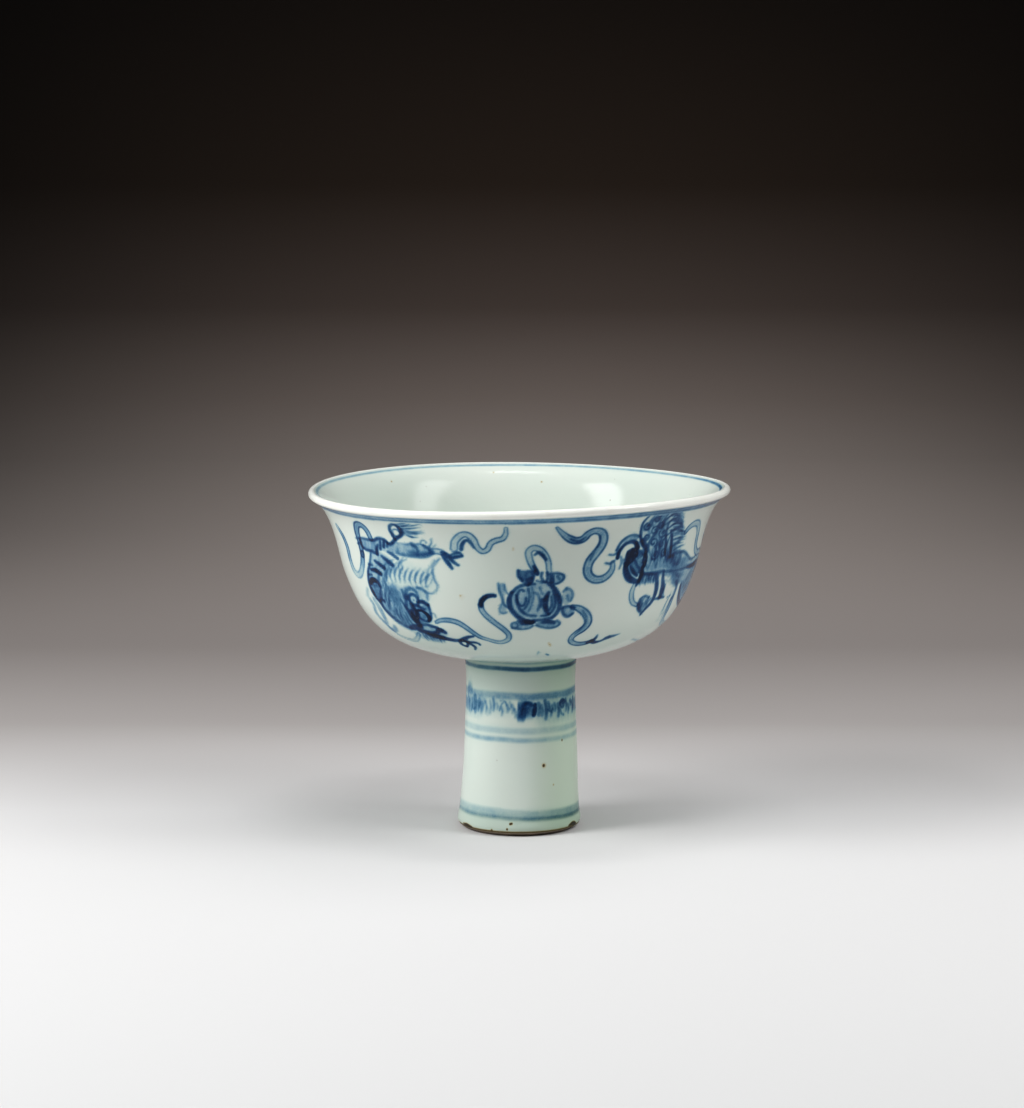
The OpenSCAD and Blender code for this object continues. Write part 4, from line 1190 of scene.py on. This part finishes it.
# iron specks on the bowl, outside and inside: place round it and along the run, then radius and tone
BOWL_SPECKS = (
    (12.2, 34.6, .5, .4), (11.6, 35.6, .35, .35), (12.7, 33.6, .4, .3), (-20.6, 56.8, .3, .35),
    (-2, 75, .3, .3), (22, 17.4, .45, .8), (-96, 40, .4, .6), (131, 66, .35, .5),
    (162, 47, .5, .5), (-150, 71, .35, .5),
)
INSIDE_SPECKS = (
    (-147, 7, .22, .7), (-186, 5.5, .2, .6), (187, 9.5, .22, .7), (60, 30, .4, .5), (-40, 48, .5, .5),
)
# iron specks on the stem: place round it and height in mm, then radius and tone
STEM_SPECKS = (
    (16.7, 34.6, .28, 1.2), (8.4, 26.1, .38, 1.7), (8.5, 26.1, .9, .16), (-3.0, 4.9, .3, 1.6),
    (-2.5, 5.0, .28, 1.5), (-4.0, 2.9, .28, 1.4), (12.4, 18.6, .3, .3), (-9.4, 2.2, .35, .7),
    (-40, 22, .3, .9), (51, 40, .3, .8),
)
# scrolls of the stem's border: place round it, heights of top and foot in mm, then width and tone
SCROLLS = (
    (-27.4, 49.4, 45.6, 1.0, .20), (-25.0, 50.0, 45.6, 1.1, .16), (-22.6, 49.0, 44.4, 1.1, .16),
    (-20.2, 50.0, 46.0, 1.0, .20), (-19.0, 50.4, 45.0, 1.4, .26), (-15.4, 48.6, 45.0, 1.2, .12),
    (-14.0, 50.0, 48.0, 0.8, .12), (-12.4, 47.0, 44.4, 0.9, .10), (-9.8, 50.4, 46.2, 0.8, .28),
    (-8.2, 48.8, 46.8, 0.7, .18), (-4.2, 48.4, 46.0, 0.9, .20), (-2.3, 48.6, 45.6, 0.9, .20),
    (-1.4, 47.0, 44.0, 0.8, .22), (7.4, 49.2, 45.0, 1.1, .34), (8.6, 48.4, 44.6, 0.8, .30),
    (10.1, 50.0, 43.4, 1.0, .42), (13.0, 48.0, 45.8, 0.8, .30), (14.2, 48.6, 46.0, 0.9, .36),
    (15.8, 48.4, 44.0, 1.0, .42), (21.6, 47.4, 44.6, 1.0, .30), (23.4, 48.6, 47.4, 1.2, .36),
    (26.0, 49.4, 45.0, 1.1, .34), (28.2, 48.4, 44.8, 1.0, .34), (-26.2, 48.6, 45.0, 0.8, .22),
    (-23.9, 49.2, 44.8, 0.8, .26), (-21.4, 49.6, 45.2, 0.8, .24), (-17.2, 49.0, 45.4, 0.8, .20),
    (-16.4, 50.0, 47.0, 0.7, .18), (-13.2, 49.4, 45.2, 0.7, .16), (-11.2, 49.6, 45.0, 0.8, .18),
    (-6.4, 47.6, 44.6, 0.7, .20), (-3.2, 49.6, 47.0, 0.6, .18), (11.4, 49.4, 46.6, 0.8, .34),
    (12.2, 47.0, 44.0, 0.7, .30), (20.2, 49.6, 45.4, 0.9, .36), (24.8, 48.2, 44.2, 0.9, .32),
    (30.0, 49.0, 45.0, 1.0, .30),
)


def level(brush, node):
    """Where the lowest and the highest edge of a CAD line lie on the brush's sheet, in mm along the run."""
    edges = [corner.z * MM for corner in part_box(node)]
    rising = brush.height[1] > brush.height[0]
    order = slice(None) if rising else slice(None, None, -1)
    return np.interp(edges, brush.height[order], brush.length[order])


def speckle(b, specks):
    """Iron specks that came through the glaze."""
    for x, y, radius, tone in specks:
        b.dot(x, y, radius, tone)


def paint_bowl(run):
    """Lions, balls and ribbons round the outside of the bowl, and the lines under its lip."""
    cup = bpy.context.scene.stem_cup
    b = Brush(run, BOWL_ROUND)

    def sag(points):
        """How far the kiln lifts these spots, in mm: the figures keep level while the rim sinks and rises."""
        angle = points[:, 0] / BOWL_ROUND * 2 * math.pi
        over = np.interp(points[:, 1], b.length, b.height) / MM - JOINT
        across = np.interp(points[:, 1], b.length, b.radius) * np.sin(angle)
        wave = np.sin(2 * angle + WAVE_START) - WAVE_MIDDLE
        return cup.tilt * across + MM * cup.rim_wave * (over / (RIM - JOINT)) ** 2 * wave

    b.sag = sag
    for turn in (0, 1):
        b.shift, b.sway = turn * HALF_ROUND, 0.12 + 0.5 * turn
        for figure in FIGURES:
            figure(b)
    b.shift, b.sway = LONE_BALL, 0.7
    brocade_ball(b)
    b.shift = b.sway = 0
    upper, lower = level(b, "outer_rim_line_upper"), level(b, "outer_rim_line_lower")
    # the figures stop under the lines
    b.cobalt *= np.where((np.arange(b.rows) + 0.5) / b.ky > lower[0] - 0.3, 0, 1)[:, None]
    b.hoop(lower[0] - 0.1, upper[1] + 0.1, [.22, .26, .24, .12, .14, .26, .3, .28], 0.8)
    b.hoop(*lower, [.34, .3, .32, .34, .36, .38, .36, .3], 0.7)
    b.hoop(*upper, [.3, .26, .32, .3, .28, .34, .3, .28], 0.7)
    b.sheet = b.iron
    speckle(b, BOWL_SPECKS)
    return b.layers()


def paint_inside(run):
    """The one line inside the lip, and a few iron specks on the bare wall."""
    b = Brush(run, BOWL_ROUND)
    low, high = sorted(level(b, "inner_rim_line"))
    b.hoop(low + 0.15, high - 0.15, [.24, .24, .22, .23, .2, .18, .18, .19, .24, .55, .26, .24], 0.4)
    b.sheet = b.iron
    speckle(b, INSIDE_SPECKS)
    return b.layers()


def scroll_border(b):
    """Hanging scrolls under the line round the upper stem."""
    b.wash([(-26, 51.4), (-25.4, 54), (-23.4, 54.9), (-21.6, 54.4), (-21.4, 52.4), (-23, 51.4)], .34, .8)
    b.wash([(-31, 51), (-16, 51), (-15, 46), (-20, 44), (-31, 45)], .22, 1.4)
    b.wash([(-17, 51), (-4, 51.4), (-3.6, 46), (-12, 45.6), (-17, 46.4)], .14, 1.4)
    b.wash([(5, 51), (32, 50.6), (33, 43.6), (20, 42.6), (7, 43)], .24, 1.4)
    for x, top, foot, width, tone in SCROLLS:
        points = [(x - .2, top), (x + .2, (top + foot) / 2), (x - .1, foot)]
        b.line(points, 1.3 * width, [tone, 1.3 * tone, .8 * tone], 0.9)
    b.line([(-7.4, 46.4), (-6.6, 48.6), (-5.4, 49.6), (-4.6, 48.6)], .7, .24)
    b.line([(-7, 50), (-5.8, 50.2), (-5, 49.6)], .6, .2)
    b.line([(-21.4, 47), (-20.4, 45.6), (-18.8, 46.4)], .7, .2)
    b.curl((18, 48), 1.5, 1.1, 1.2, .6, 60)
    b.line([(19.4, 48.8), (18, 49.6), (16.6, 48.6)], 1.2, .5)
    b.line([(16.8, 46), (17.4, 44.6), (18.4, 44)], .9, .3)
    b.line([(11.2, 46.4), (12, 46), (12.8, 46.6)], .8, .34)


def border_blots(b):
    """The two blots in the border, where the brush was filled again."""
    b.wash([(-.5, 49.5), (2.5, 49.6), (2.6, 46.6), (2.2, 44), (1.4, 43.1), (-.8, 43.3), (-.6, 46)], .95, .6)
    b.wash([(.6, 48), (2.2, 48), (2.2, 45), (.8, 44.6)], .7, .6)
    b.line([(2.2, 49.2), (3.6, 49.3), (4.6, 48.6)], 1.4, [.7, .7, .6], .9)
    b.wash([(2.4, 49), (5, 48.8), (5, 44.8), (2.4, 44.8)], .75, .8)
    b.line([(5.9, 48.8), (5.7, 46.8), (5.3, 45)], [1.2, 1.7, 1.4], [.9, 1.3, 1.1], .8)


def stem_lines(b):
    """The cobalt lines that the wheel turned round the stem, and a painted shadow in the crease under the
    bowl.
    """
    b.hoop(*level(b, "neck_line"), [.5, .5, .5, .5, .36, .45, .6, .58, .7, .56, .5, .5], 0.9)
    # a painted shadow in the crease under the bowl, laid as a pale line at the top of the stem
    crease_shadow_top = b.length[-1]
    b.hoop(crease_shadow_top - 1.0, crease_shadow_top - 0.3, [.2], 0.6)
    low, high = level(b, "border_line")
    b.hoop(low, high + 0.3, [.28, .24, .2, .17, .16, .17, .3, .32, .3, .3, .3, .28], 1.4)
    low, high = level(b, "stem_line_upper")
    b.hoop(low - 0.4, high + 0.5, [.14, .14, .13, .12, .12, .13, .13, .14, .15, .15, .14, .14], 1.4)
    low, high = level(b, "stem_line_lower")
    b.hoop(low - 0.1, high + 0.2, [.2, .18, .18, .18, .2, .23, .2, .17, .16, .17, .18, .2], 1.3)
    low, high = level(b, "foot_line")
    b.hoop(low + 0.8, high, [.16, .15, .14, .14, .13, .15, .14, .16, .2, .22, .2, .18], 1.2, FOOT_SLANT)
    b.hoop(low, low + 1.4, [.22, .2, .18, .18, .18, .2, .2, .24, .3, .32, .3, .24], 1.0, FOOT_SLANT)


def stem_iron(b):
    """Iron in the lines and the specks of the stem, and the burnt edge of the glaze over the foot ring."""
    b.hoop(*level(b, "neck_line"), [.05], 0.8)
    low, high = level(b, "foot_line")
    b.hoop(low, high, [.01, .01, .01, .01, .01, .01, .02, .04, .06, .05, .03, .02], 1.0, FOOT_SLANT)
    b.hoop(low, low + 1.4, [.05, .04, .04, .04, .04, .05, .06, .08, .1, .09, .07, .06], 1.0, FOOT_SLANT)
    speckle(b, STEM_SPECKS)
    x = np.linspace(-STEM_ROUND / 2, STEM_ROUND / 2, 161)
    edge = 0.35 * np.exp(-((x + 20) / 9) ** 2) + 0.14 * np.sin(x * .83) + 0.1 * np.sin(x * 2.1 + 1)
    edge[-1] = edge[0]
    b.line(np.c_[x, b.height[0] - 0.45 + edge], 1.2, [.95, .8, .9, 1.0, .95, .9, .85, .8, .9, .95], 0.5)
    b.line([(-23, 2.3), (-20.6, 2.3), (-18, 2)], [.6, 1.2, .7], [1.0, 1.4, 1.0], 0.4)
    b.line([(19.2, 2.4), (21, 2.8), (22.4, 2.6), (24, 2.2)], [.6, 1.2, 1.4, .6], [1.0, 1.5, 1.5, 1.0], 0.4)


def paint_stem(run):
    """The scroll border, the lines round the stem and the iron in them, and a painted shadow under the bowl.
    """
    cup = bpy.context.scene.stem_cup
    b = Brush(run, STEM_ROUND)
    b.by_height = True
    for turn in (0, 1):
        b.shift, b.sway = turn * STEM_ROUND / 2 - cup.lean * MM, 0.1 + 0.4 * turn
        scroll_border(b)
        border_blots(b)
    b.shift = b.sway = 0
    stem_lines(b)
    b.sheet = b.iron
    stem_iron(b)
    return b.layers()


# Finishes: noises and dots are given by their size in mm

# colour that the light keeps on its way through cobalt and through iron, from none to the fullest load
COBALT_STEPS = (
    (0, (1, 1, 1)), (.05, (.79, .88, .91)), (.12, (.51, .67, .78)), (.22, (.19, .38, .61)),
    (.34, (.065, .20, .40)), (.5, (.014, .08, .25)), (.68, (.005, .035, .14)), (.9, (.003, .012, .045)),
)
IRON_STEPS = ((0, (1, 1, 1)), (.18, (.82, .68, .48)), (.5, (.30, .17, .08)), (1, (.055, .035, .022)))
# clay of the bare foot, from lightly to heavily burnt
BURNT_STEPS = ((0.2, tint(104, 72, 36)), (0.5, tint(60, 42, 23)), (0.8, tint(28, 21, 15)))
RIGHT_SHADE_TINT = (.84, .91, .80)     # painted shade on the right of the stem
BELLY_SHADE_TINT = (.74, .79, .78)    # painted shade under the belly of the bowl and on the top of the stem beneath it
PINHOLE = tint(120, 104, 84)
# heights between which the glaze thickens: to the joint from above and below, to the foot; painted shade
# under the belly
JOINT_FROM_ABOVE, JOINT_FROM_BELOW = (JOINT + 0.006, JOINT - 0.001), (JOINT - 0.007, JOINT - 0.001)
TO_FOOT, BELLY_SHADE_FROM_ABOVE, BELLY_SHADE_FROM_BELOW = (0.011, 0.006), (0.09, 0.067), (0.046, 0.06)
RIGHT_SHADE_SPAN = (0.0, 0.016)         # places between which painted shade sets in on the right of the stem
BURNT_HEIGHTS = (0.0028, 0.0006)        # between which the clay of the foot gets burnt
TURNING_MARKS, THROWING_MARKS = 9000.0, 2100.0      # radians of these waves in a metre of height


def painted_glaze(name, thick=0.0, shine=0.12, shade=1.0, right_shade=0.0):
    """Clear glaze over white clay, greener where it is thick, with the sheet's cobalt and iron under it."""
    cup = bpy.context.scene.stem_cup
    f = Finish(name, IOR=1.5, Specular_IOR_Level=shine)
    cobalt, iron = f.attribute("cobalt"), f.attribute("iron")
    fine, grain, cloud = f.noise(0.7, 3), f.noise(4, 3), f.noise(26, 2)
    heap = f.noise(1.3, 2).ease(0.55, 0.72) * cobalt.ease(0.45, 1.05)
    watery = 0.78 + fine.ease(0.3, 0.7) * 0.14 + grain.ease(0.3, 0.7) * 0.3
    load = cobalt * watery * cup.cobalt_load + heap * 0.25 * cup.cobalt_load
    # shade darkens both colours of the glaze alike: painted shade, as for the glaze inside the bowl
    thin, deep = ([shade * c for c in colour] for colour in (cup.glaze_colour, cup.glaze_pool))
    clear = f.mix((cloud * 0.6 + thick).maths("MINIMUM", 1.0), thin, deep)
    at_joint = f.z.ease(*JOINT_FROM_ABOVE) * f.z.ease(*JOINT_FROM_BELOW)
    at_foot = f.z.ease(*TO_FOOT)
    # painted shade under the belly of the bowl and on the top of the stem beneath it
    under = f.z.ease(*BELLY_SHADE_FROM_ABOVE) * f.z.ease(*BELLY_SHADE_FROM_BELOW)
    clear = f.mix((at_joint + at_foot) * 0.5, clear, tuple(cup.glaze_pool), "MULTIPLY")
    # painted shade on the right of the stem
    clear = f.mix(f.x.ease(*RIGHT_SHADE_SPAN) * right_shade, clear, RIGHT_SHADE_TINT, "MULTIPLY")
    # painted shade: the glaze darkens under the belly of the bowl and on the stem's top
    clear = f.mix(under, clear, BELLY_SHADE_TINT, "MULTIPLY")
    colour = f.mix(1.0, clear, f.ramp(load / FULL_LOAD, COBALT_STEPS), "MULTIPLY")
    colour = f.mix(1.0, colour, f.ramp(iron * (0.75 + fine * 0.5), IRON_STEPS), "MULTIPLY")
    pinholes = f.dots(5.5).ease(0.075, 0.045) * f.noise(14, 1).ease(0.56, 0.66)
    colour = f.mix(pinholes * 0.5, colour, PINHOLE)
    rough = 0.1 + fine * 0.07 + heap * 0.22 + iron.ease(0.2, 0.8) * 0.3
    f.feed(Base_Color=colour, Roughness=rough)
    f.bump(f.noise(3.2, 2) * 0.7 + f.noise(11, 1) * 1.4 + fine * 0.06 - heap * 0.25, 0.05)
    return f.material


def lip_glaze(name):
    """The glaze of the lip, thin and white, warmer in patches."""
    cup = bpy.context.scene.stem_cup
    f = Finish(name, IOR=1.5)
    cloud, fine = f.noise(22, 2), f.noise(0.8, 3)
    base = f.mix(cloud, tuple(cup.lip_colour), tint(242, 245, 237))
    base = f.mix(f.noise(9, 3).ease(0.55, 0.8) * 0.35, base, tint(234, 229, 215))
    pinholes = f.dots(6).ease(0.07, 0.04) * f.noise(12, 1).ease(0.55, 0.66)
    f.feed(Base_Color=f.mix(pinholes * 0.6, base, tint(116, 98, 78)), Roughness=0.1 + fine * 0.1)
    f.bump(f.noise(3.4, 2) * 0.7 + f.noise(12, 1) * 1.3, 0.05)
    return f.material


def bare_clay(name):
    """Fired white clay, burnt orange-brown on the bare foot, with grit and turning marks."""
    cup = bpy.context.scene.stem_cup
    f = Finish(name, IOR=1.45)
    grain, patch, fine = f.noise(0.6, 4), f.noise(7, 3), f.noise(0.22, 2)
    base = f.mix(grain, tuple(cup.clay_colour), tint(222, 210, 190))
    burnt = f.ramp(patch * 0.7 + grain * 0.4, BURNT_STEPS)
    foot = f.z.ease(*BURNT_HEIGHTS)
    colour = f.mix(foot * (0.8 + patch * 0.3).maths("MINIMUM", 1.0), base, burnt)
    grit = f.dots(1.4).ease(0.2, 0.12)
    colour = f.mix(grit * 0.55, colour, tint(52, 38, 28))
    f.feed(Base_Color=colour, Roughness=0.62 + grain * 0.25)
    rings = (f.z * TURNING_MARKS + patch * 2.0).maths("SINE")
    f.bump(grain * 0.8 + fine * 0.5 + rings * 0.15 - grit * 0.5, 0.12)
    return f.material


def slip_coat(name):
    """Slip squeezed out of the joint: the clay's colour, smeared by a finger."""
    f = Finish(name, IOR=1.45)
    smear, grain = f.noise(3, 3, (1, 1, 3)), f.noise(0.5, 3)
    f.feed(Base_Color=f.mix(smear, tint(214, 202, 184), tint(188, 172, 150)), Roughness=0.7 + grain * 0.2)
    f.bump(smear + grain * 0.4, 0.1)
    return f.material


def hollow_wash(name):
    """Thin, patchy glaze in the hollow of the stem, over the marks of the throwing."""
    f = Finish(name, IOR=1.5)
    patch, grain = f.noise(8, 3), f.noise(0.8, 3)
    rings = (f.z * THROWING_MARKS + patch * 3.0).maths("SINE")
    colour = f.mix(patch.ease(0.35, 0.7), tint(206, 208, 198), tint(196, 184, 164))
    f.feed(Base_Color=f.mix(grain * 0.3, colour, tint(158, 138, 112)), Roughness=0.24 + patch * 0.3)
    f.bump(rings * 0.6 + grain * 0.4, 0.12)
    return f.material


# Stage

# the floor's front edge and half width, then the bend behind the cup and the top of the backdrop
FLOOR_FRONT, FLOOR_HALF_WIDTH = -1.7, 2.2
BEND_START, BEND_RADIUS, BACKDROP_TOP = 1.2, 0.55, 1.9
# the floor's painted light and shade from the front up the sweep behind: metres back plus twice those up,
# then the shade
FLOOR_SHADES = (
    (-.6, (90, 90, 90)), (-.35, (215, 215, 215)), (.02, (220, 219, 219)), (.2, (165, 160, 158)),
    (.4, (147, 140, 137)), (1.2, (200, 187, 180)), (1.45, (155, 142, 135)), (1.7, (98, 86, 80)),
    (2, (57, 47, 40)), (2.4, (37, 31, 27)),
)
SHADES_FROM, SHADES_SPAN = -0.6, 3.4    # where the ramp of shades starts, and how far it reaches
PAINTED_SIDE_SHADE = (0.004, 0.004, 0.004)      # painted shade of the backdrop away from its painted lit middle
# where the backdrop's light is painted, and the stretches to the sides and up over which its painted shade
# sets in
LIT_MIDDLE, DARK_ASIDE, DARK_BACK = 0.04, (0.0, 0.7), (0.1, 0.9)
# each lamp's name, degrees round from the front and up, width and height, and the setting of its power
LAMPS = (
    ("softbox_left", -66, 34, 0.38, 0.7, "left_light"), ("sheet_left", -80, 22, 1.2, 0.7, "left_sheet"),
    ("softbox_right", 70, 37, 0.34, 0.65, "right_light"), ("sheet_right", 90, 66, 1.0, 1.0, "right_sheet"),
    ("softbox_top", 0, 81, 0.4, 0.08, "top_light"), ("sheet_top", 0, 86, 1.2, 1.2, "top_sheet"),
)
LAMP_FAR = 1.1                          # from the middle of the cup to each lamp
SKY, SKY_STRENGTH = tint(150, 150, 152), 0.01
CAMERA_PLACE, CAMERA_PITCH = (0, -1.2091, 0.2705), math.radians(82.049)
LENS_MM, SENSOR_MM = 107.53, 36
LENS_SHIFT = -7.1 / 1108                # the cup stands 7.1 of the photo's 1108 pixels right of its middle


def lay_floor(scene):
    """Pale paper that sweeps up behind the cup, with painted light and shade: it darkens to the top and the
    sides.
    """
    turn = np.linspace(0, math.pi / 2, 24)
    bend = [(BEND_START + BEND_RADIUS * math.sin(a), BEND_RADIUS - BEND_RADIUS * math.cos(a)) for a in turn]
    line = [(FLOOR_FRONT, 0), (-0.8, 0), (0, 0), (0.8, 0), *bend, (BEND_START + BEND_RADIUS, BACKDROP_TOP)]
    mesh = bpy.data.meshes.new("floor")
    points = [(x, y, z) for y, z in line for x in (-FLOOR_HALF_WIDTH, FLOOR_HALF_WIDTH)]
    mesh.from_pydata(points, [], [(2 * i, 2 * i + 1, 2 * i + 3, 2 * i + 2) for i in range(len(line) - 1)])
    for face in mesh.polygons:
        face.use_smooth = True
    floor = bpy.data.objects.new("floor", mesh)
    scene.collection.objects.link(floor)
    f = Finish("floor_paper", Roughness=0.9, Specular_IOR_Level=0.1)
    back = f.y + f.z * 2.0
    # painted light and shade over the paper, from the ramp of shades
    stops = [((at - SHADES_FROM) / SHADES_SPAN, tint(*shade)) for at, shade in FLOOR_SHADES]
    paper = f.ramp((back - SHADES_FROM) / SHADES_SPAN, stops)
    # painted shade towards the sides of the backdrop
    sides = (f.x - LIT_MIDDLE).maths("ABSOLUTE").ease(*DARK_ASIDE) * back.ease(*DARK_BACK) * 0.9
    f.feed(Base_Color=f.mix(sides, paper, PAINTED_SIDE_SHADE))
    mesh.materials.append(f.material)


def hang_lamps(scene):
    """Softboxes, which show in the glaze, and wide sheets, which only light it, under a dim sky."""
    world = bpy.data.worlds.new("studio")
    world.use_nodes = True
    sky = world.node_tree.nodes["Background"].inputs
    sky["Color"].default_value = (*SKY, 1)
    sky["Strength"].default_value = SKY_STRENGTH
    scene.world = world
    for name, azimuth, rise, wide, tall, power in LAMPS:
        lamp = bpy.data.lights.new(name, "AREA")
        lamp.shape = "RECTANGLE"
        lamp.size, lamp.size_y = wide, tall
        lamp.energy = getattr(scene.stem_cup, power)
        box = bpy.data.objects.new(name, lamp)
        a, e = math.radians(azimuth), math.radians(rise)
        way = Vector((math.sin(a) * math.cos(e), -math.cos(a) * math.cos(e), math.sin(e)))
        box.location = way * LAMP_FAR + Vector((0, 0, RIM / 2))
        box.rotation_euler = (math.pi / 2 - e, 0, a)
        box.visible_camera = False
        box.visible_glossy = name.startswith("softbox")
        scene.collection.objects.link(box)


def set_camera(scene):
    """The camera at the photo's angle."""
    lens = bpy.data.cameras.new("camera")
    lens.lens, lens.sensor_width, lens.shift_x = LENS_MM, SENSOR_MM, LENS_SHIFT
    camera = bpy.data.objects.new("camera", lens)
    camera.location = CAMERA_PLACE
    camera.rotation_euler = (CAMERA_PITCH, 0, 0)
    scene.collection.objects.link(camera)
    scene.camera = camera
    scene.view_settings.view_transform = "Standard"


# Settings

def colour_setting(name, description, default):
    return FloatVectorProperty(name=name, description=description, subtype="COLOR", size=3, default=default)


def power_setting(name, default):
    return FloatProperty(name=name, description="Power of this lamp", default=default, min=0, unit="POWER")


def length_setting(name, description, default):
    return FloatProperty(name=name, description=description, default=default, unit="LENGTH")


class StemCupSettings(bpy.types.PropertyGroup):
    """Colours, kiln faults and lamps of the stem cup"""
    glaze_colour: colour_setting("Glaze", "Glaze over the white clay", tint(216, 222, 214))
    glaze_pool: colour_setting("Pooled glaze", "Glaze where it lies thicker", tint(200, 217, 207))
    lip_colour: colour_setting("Lip", "Thin glaze on the lip", tint(249, 250, 243))
    clay_colour: colour_setting("Clay", "Fired clay", tint(205, 188, 162))
    cobalt_load: FloatProperty(name="Cobalt", description="How much cobalt the brush carries", default=1.0,
                               min=0, max=2, subtype="FACTOR")
    lean: length_setting("Stem lean", "How far the joint leans aside", 0.0006)
    tilt: FloatProperty(name="Bowl tilt", description="How far the bowl tips", default=math.radians(0.49),
                        unit="ROTATION")
    rim_wave: length_setting("Rim wave", "How far the rim rises and dips", 0.0008)
    left_light: power_setting("Left softbox", 10.0)
    left_sheet: power_setting("Left sheet", 2.2)
    right_light: power_setting("Right softbox", 4.7)
    right_sheet: power_setting("Right sheet", 4.6)
    top_light: power_setting("Top softbox", 1.6)
    top_sheet: power_setting("Top sheet", 2.1)


# Operators

class STEMCUP_OT_clay(bpy.types.Operator):
    """Bowl and stem of fired clay, and the slip between them"""
    bl_idname = "stemcup.clay"
    bl_label = "Clay and slip"

    def execute(self, context):
        clay = bare_clay("fired_clay")
        turned_piece("bowl_clay", "bowl_body", clay)
        turned_piece("stem_clay", "stem_body", clay)
        turned_piece("joint_slip", "luting_slip", slip_coat("joint_slip"))
        return {"FINISHED"}


class STEMCUP_OT_bowl_outside(bpy.types.Operator):
    """Painted glaze outside the bowl"""
    bl_idname = "stemcup.bowl_outside"
    bl_label = "Bowl outside"

    def execute(self, context):
        turned_piece("bowl_outside", "bowl_outer_glaze", painted_glaze("painted_glaze_bowl"),
                     ("outer_rim_line_upper", "outer_rim_line_lower"), paint_bowl)
        return {"FINISHED"}


class STEMCUP_OT_bowl_inside(bpy.types.Operator):
    """Glaze inside the bowl with its one line, and the glaze of the lip"""
    bl_idname = "stemcup.bowl_inside"
    bl_label = "Bowl inside and lip"

    def execute(self, context):
        # the glaze inside the bowl is a darker copy of the same glaze: painted shade
        glaze = painted_glaze("painted_glaze_inside", shine=0.22, shade=0.93)
        turned_piece("bowl_inside", "bowl_inner_glaze", glaze, ("inner_rim_line",), paint_inside,
                     FINE_SPLIT_LIMIT)
        turned_piece("lip", "lip_glaze", lip_glaze("lip_glaze"))
        return {"FINISHED"}


class STEMCUP_OT_stem_glazes(bpy.types.Operator):
    """Painted glaze outside the stem, and the wash in its hollow"""
    bl_idname = "stemcup.stem_glazes"
    bl_label = "Stem glazes"

    def execute(self, context):
        # the stem's glaze gets painted shade on its right
        glaze = painted_glaze("painted_glaze_stem", thick=0.15, right_shade=0.95)
        lines = ("neck_line", "border_line", "stem_line_upper", "stem_line_lower", "foot_line")
        turned_piece("stem_outside", "stem_outer_glaze", glaze, lines, paint_stem, FINE_SPLIT_LIMIT)
        turned_piece("stem_inside", "stem_inner_glaze", hollow_wash("hollow_wash"))
        return {"FINISHED"}


class STEMCUP_OT_stage(bpy.types.Operator):
    """Floor that sweeps up behind, lamps and the camera"""
    bl_idname = "stemcup.stage"
    bl_label = "Stage"

    def execute(self, context):
        lay_floor(context.scene)
        hang_lamps(context.scene)
        set_camera(context.scene)
        return {"FINISHED"}


class STEMCUP_PT_panel(bpy.types.Panel):
    """Stem cup, piece by piece"""
    bl_idname = "STEMCUP_PT_panel"
    bl_label = "Stem cup"
    bl_space_type = "VIEW_3D"
    bl_region_type = "UI"
    bl_category = "Stem cup"

    def draw(self, context):
        for key in StemCupSettings.__annotations__:
            self.layout.prop(context.scene.stem_cup, key)
        for step in STEPS:
            self.layout.operator(step.bl_idname)


STEPS = (STEMCUP_OT_clay, STEMCUP_OT_bowl_outside, STEMCUP_OT_bowl_inside, STEMCUP_OT_stem_glazes,
         STEMCUP_OT_stage)
CLASSES = (StemCupSettings, *STEPS, STEMCUP_PT_panel)


def register():
    for kind in CLASSES:
        bpy.utils.register_class(kind)
    bpy.types.Scene.stem_cup = PointerProperty(type=StemCupSettings)


def unregister():
    del bpy.types.Scene.stem_cup
    for kind in reversed(CLASSES):
        bpy.utils.unregister_class(kind)


def main():
    register()
    bpy.ops.stemcup.clay()
    bpy.ops.stemcup.bowl_outside()
    bpy.ops.stemcup.bowl_inside()
    bpy.ops.stemcup.stem_glazes()
    bpy.ops.stemcup.stage()


if __name__ == "__main__":
    main()
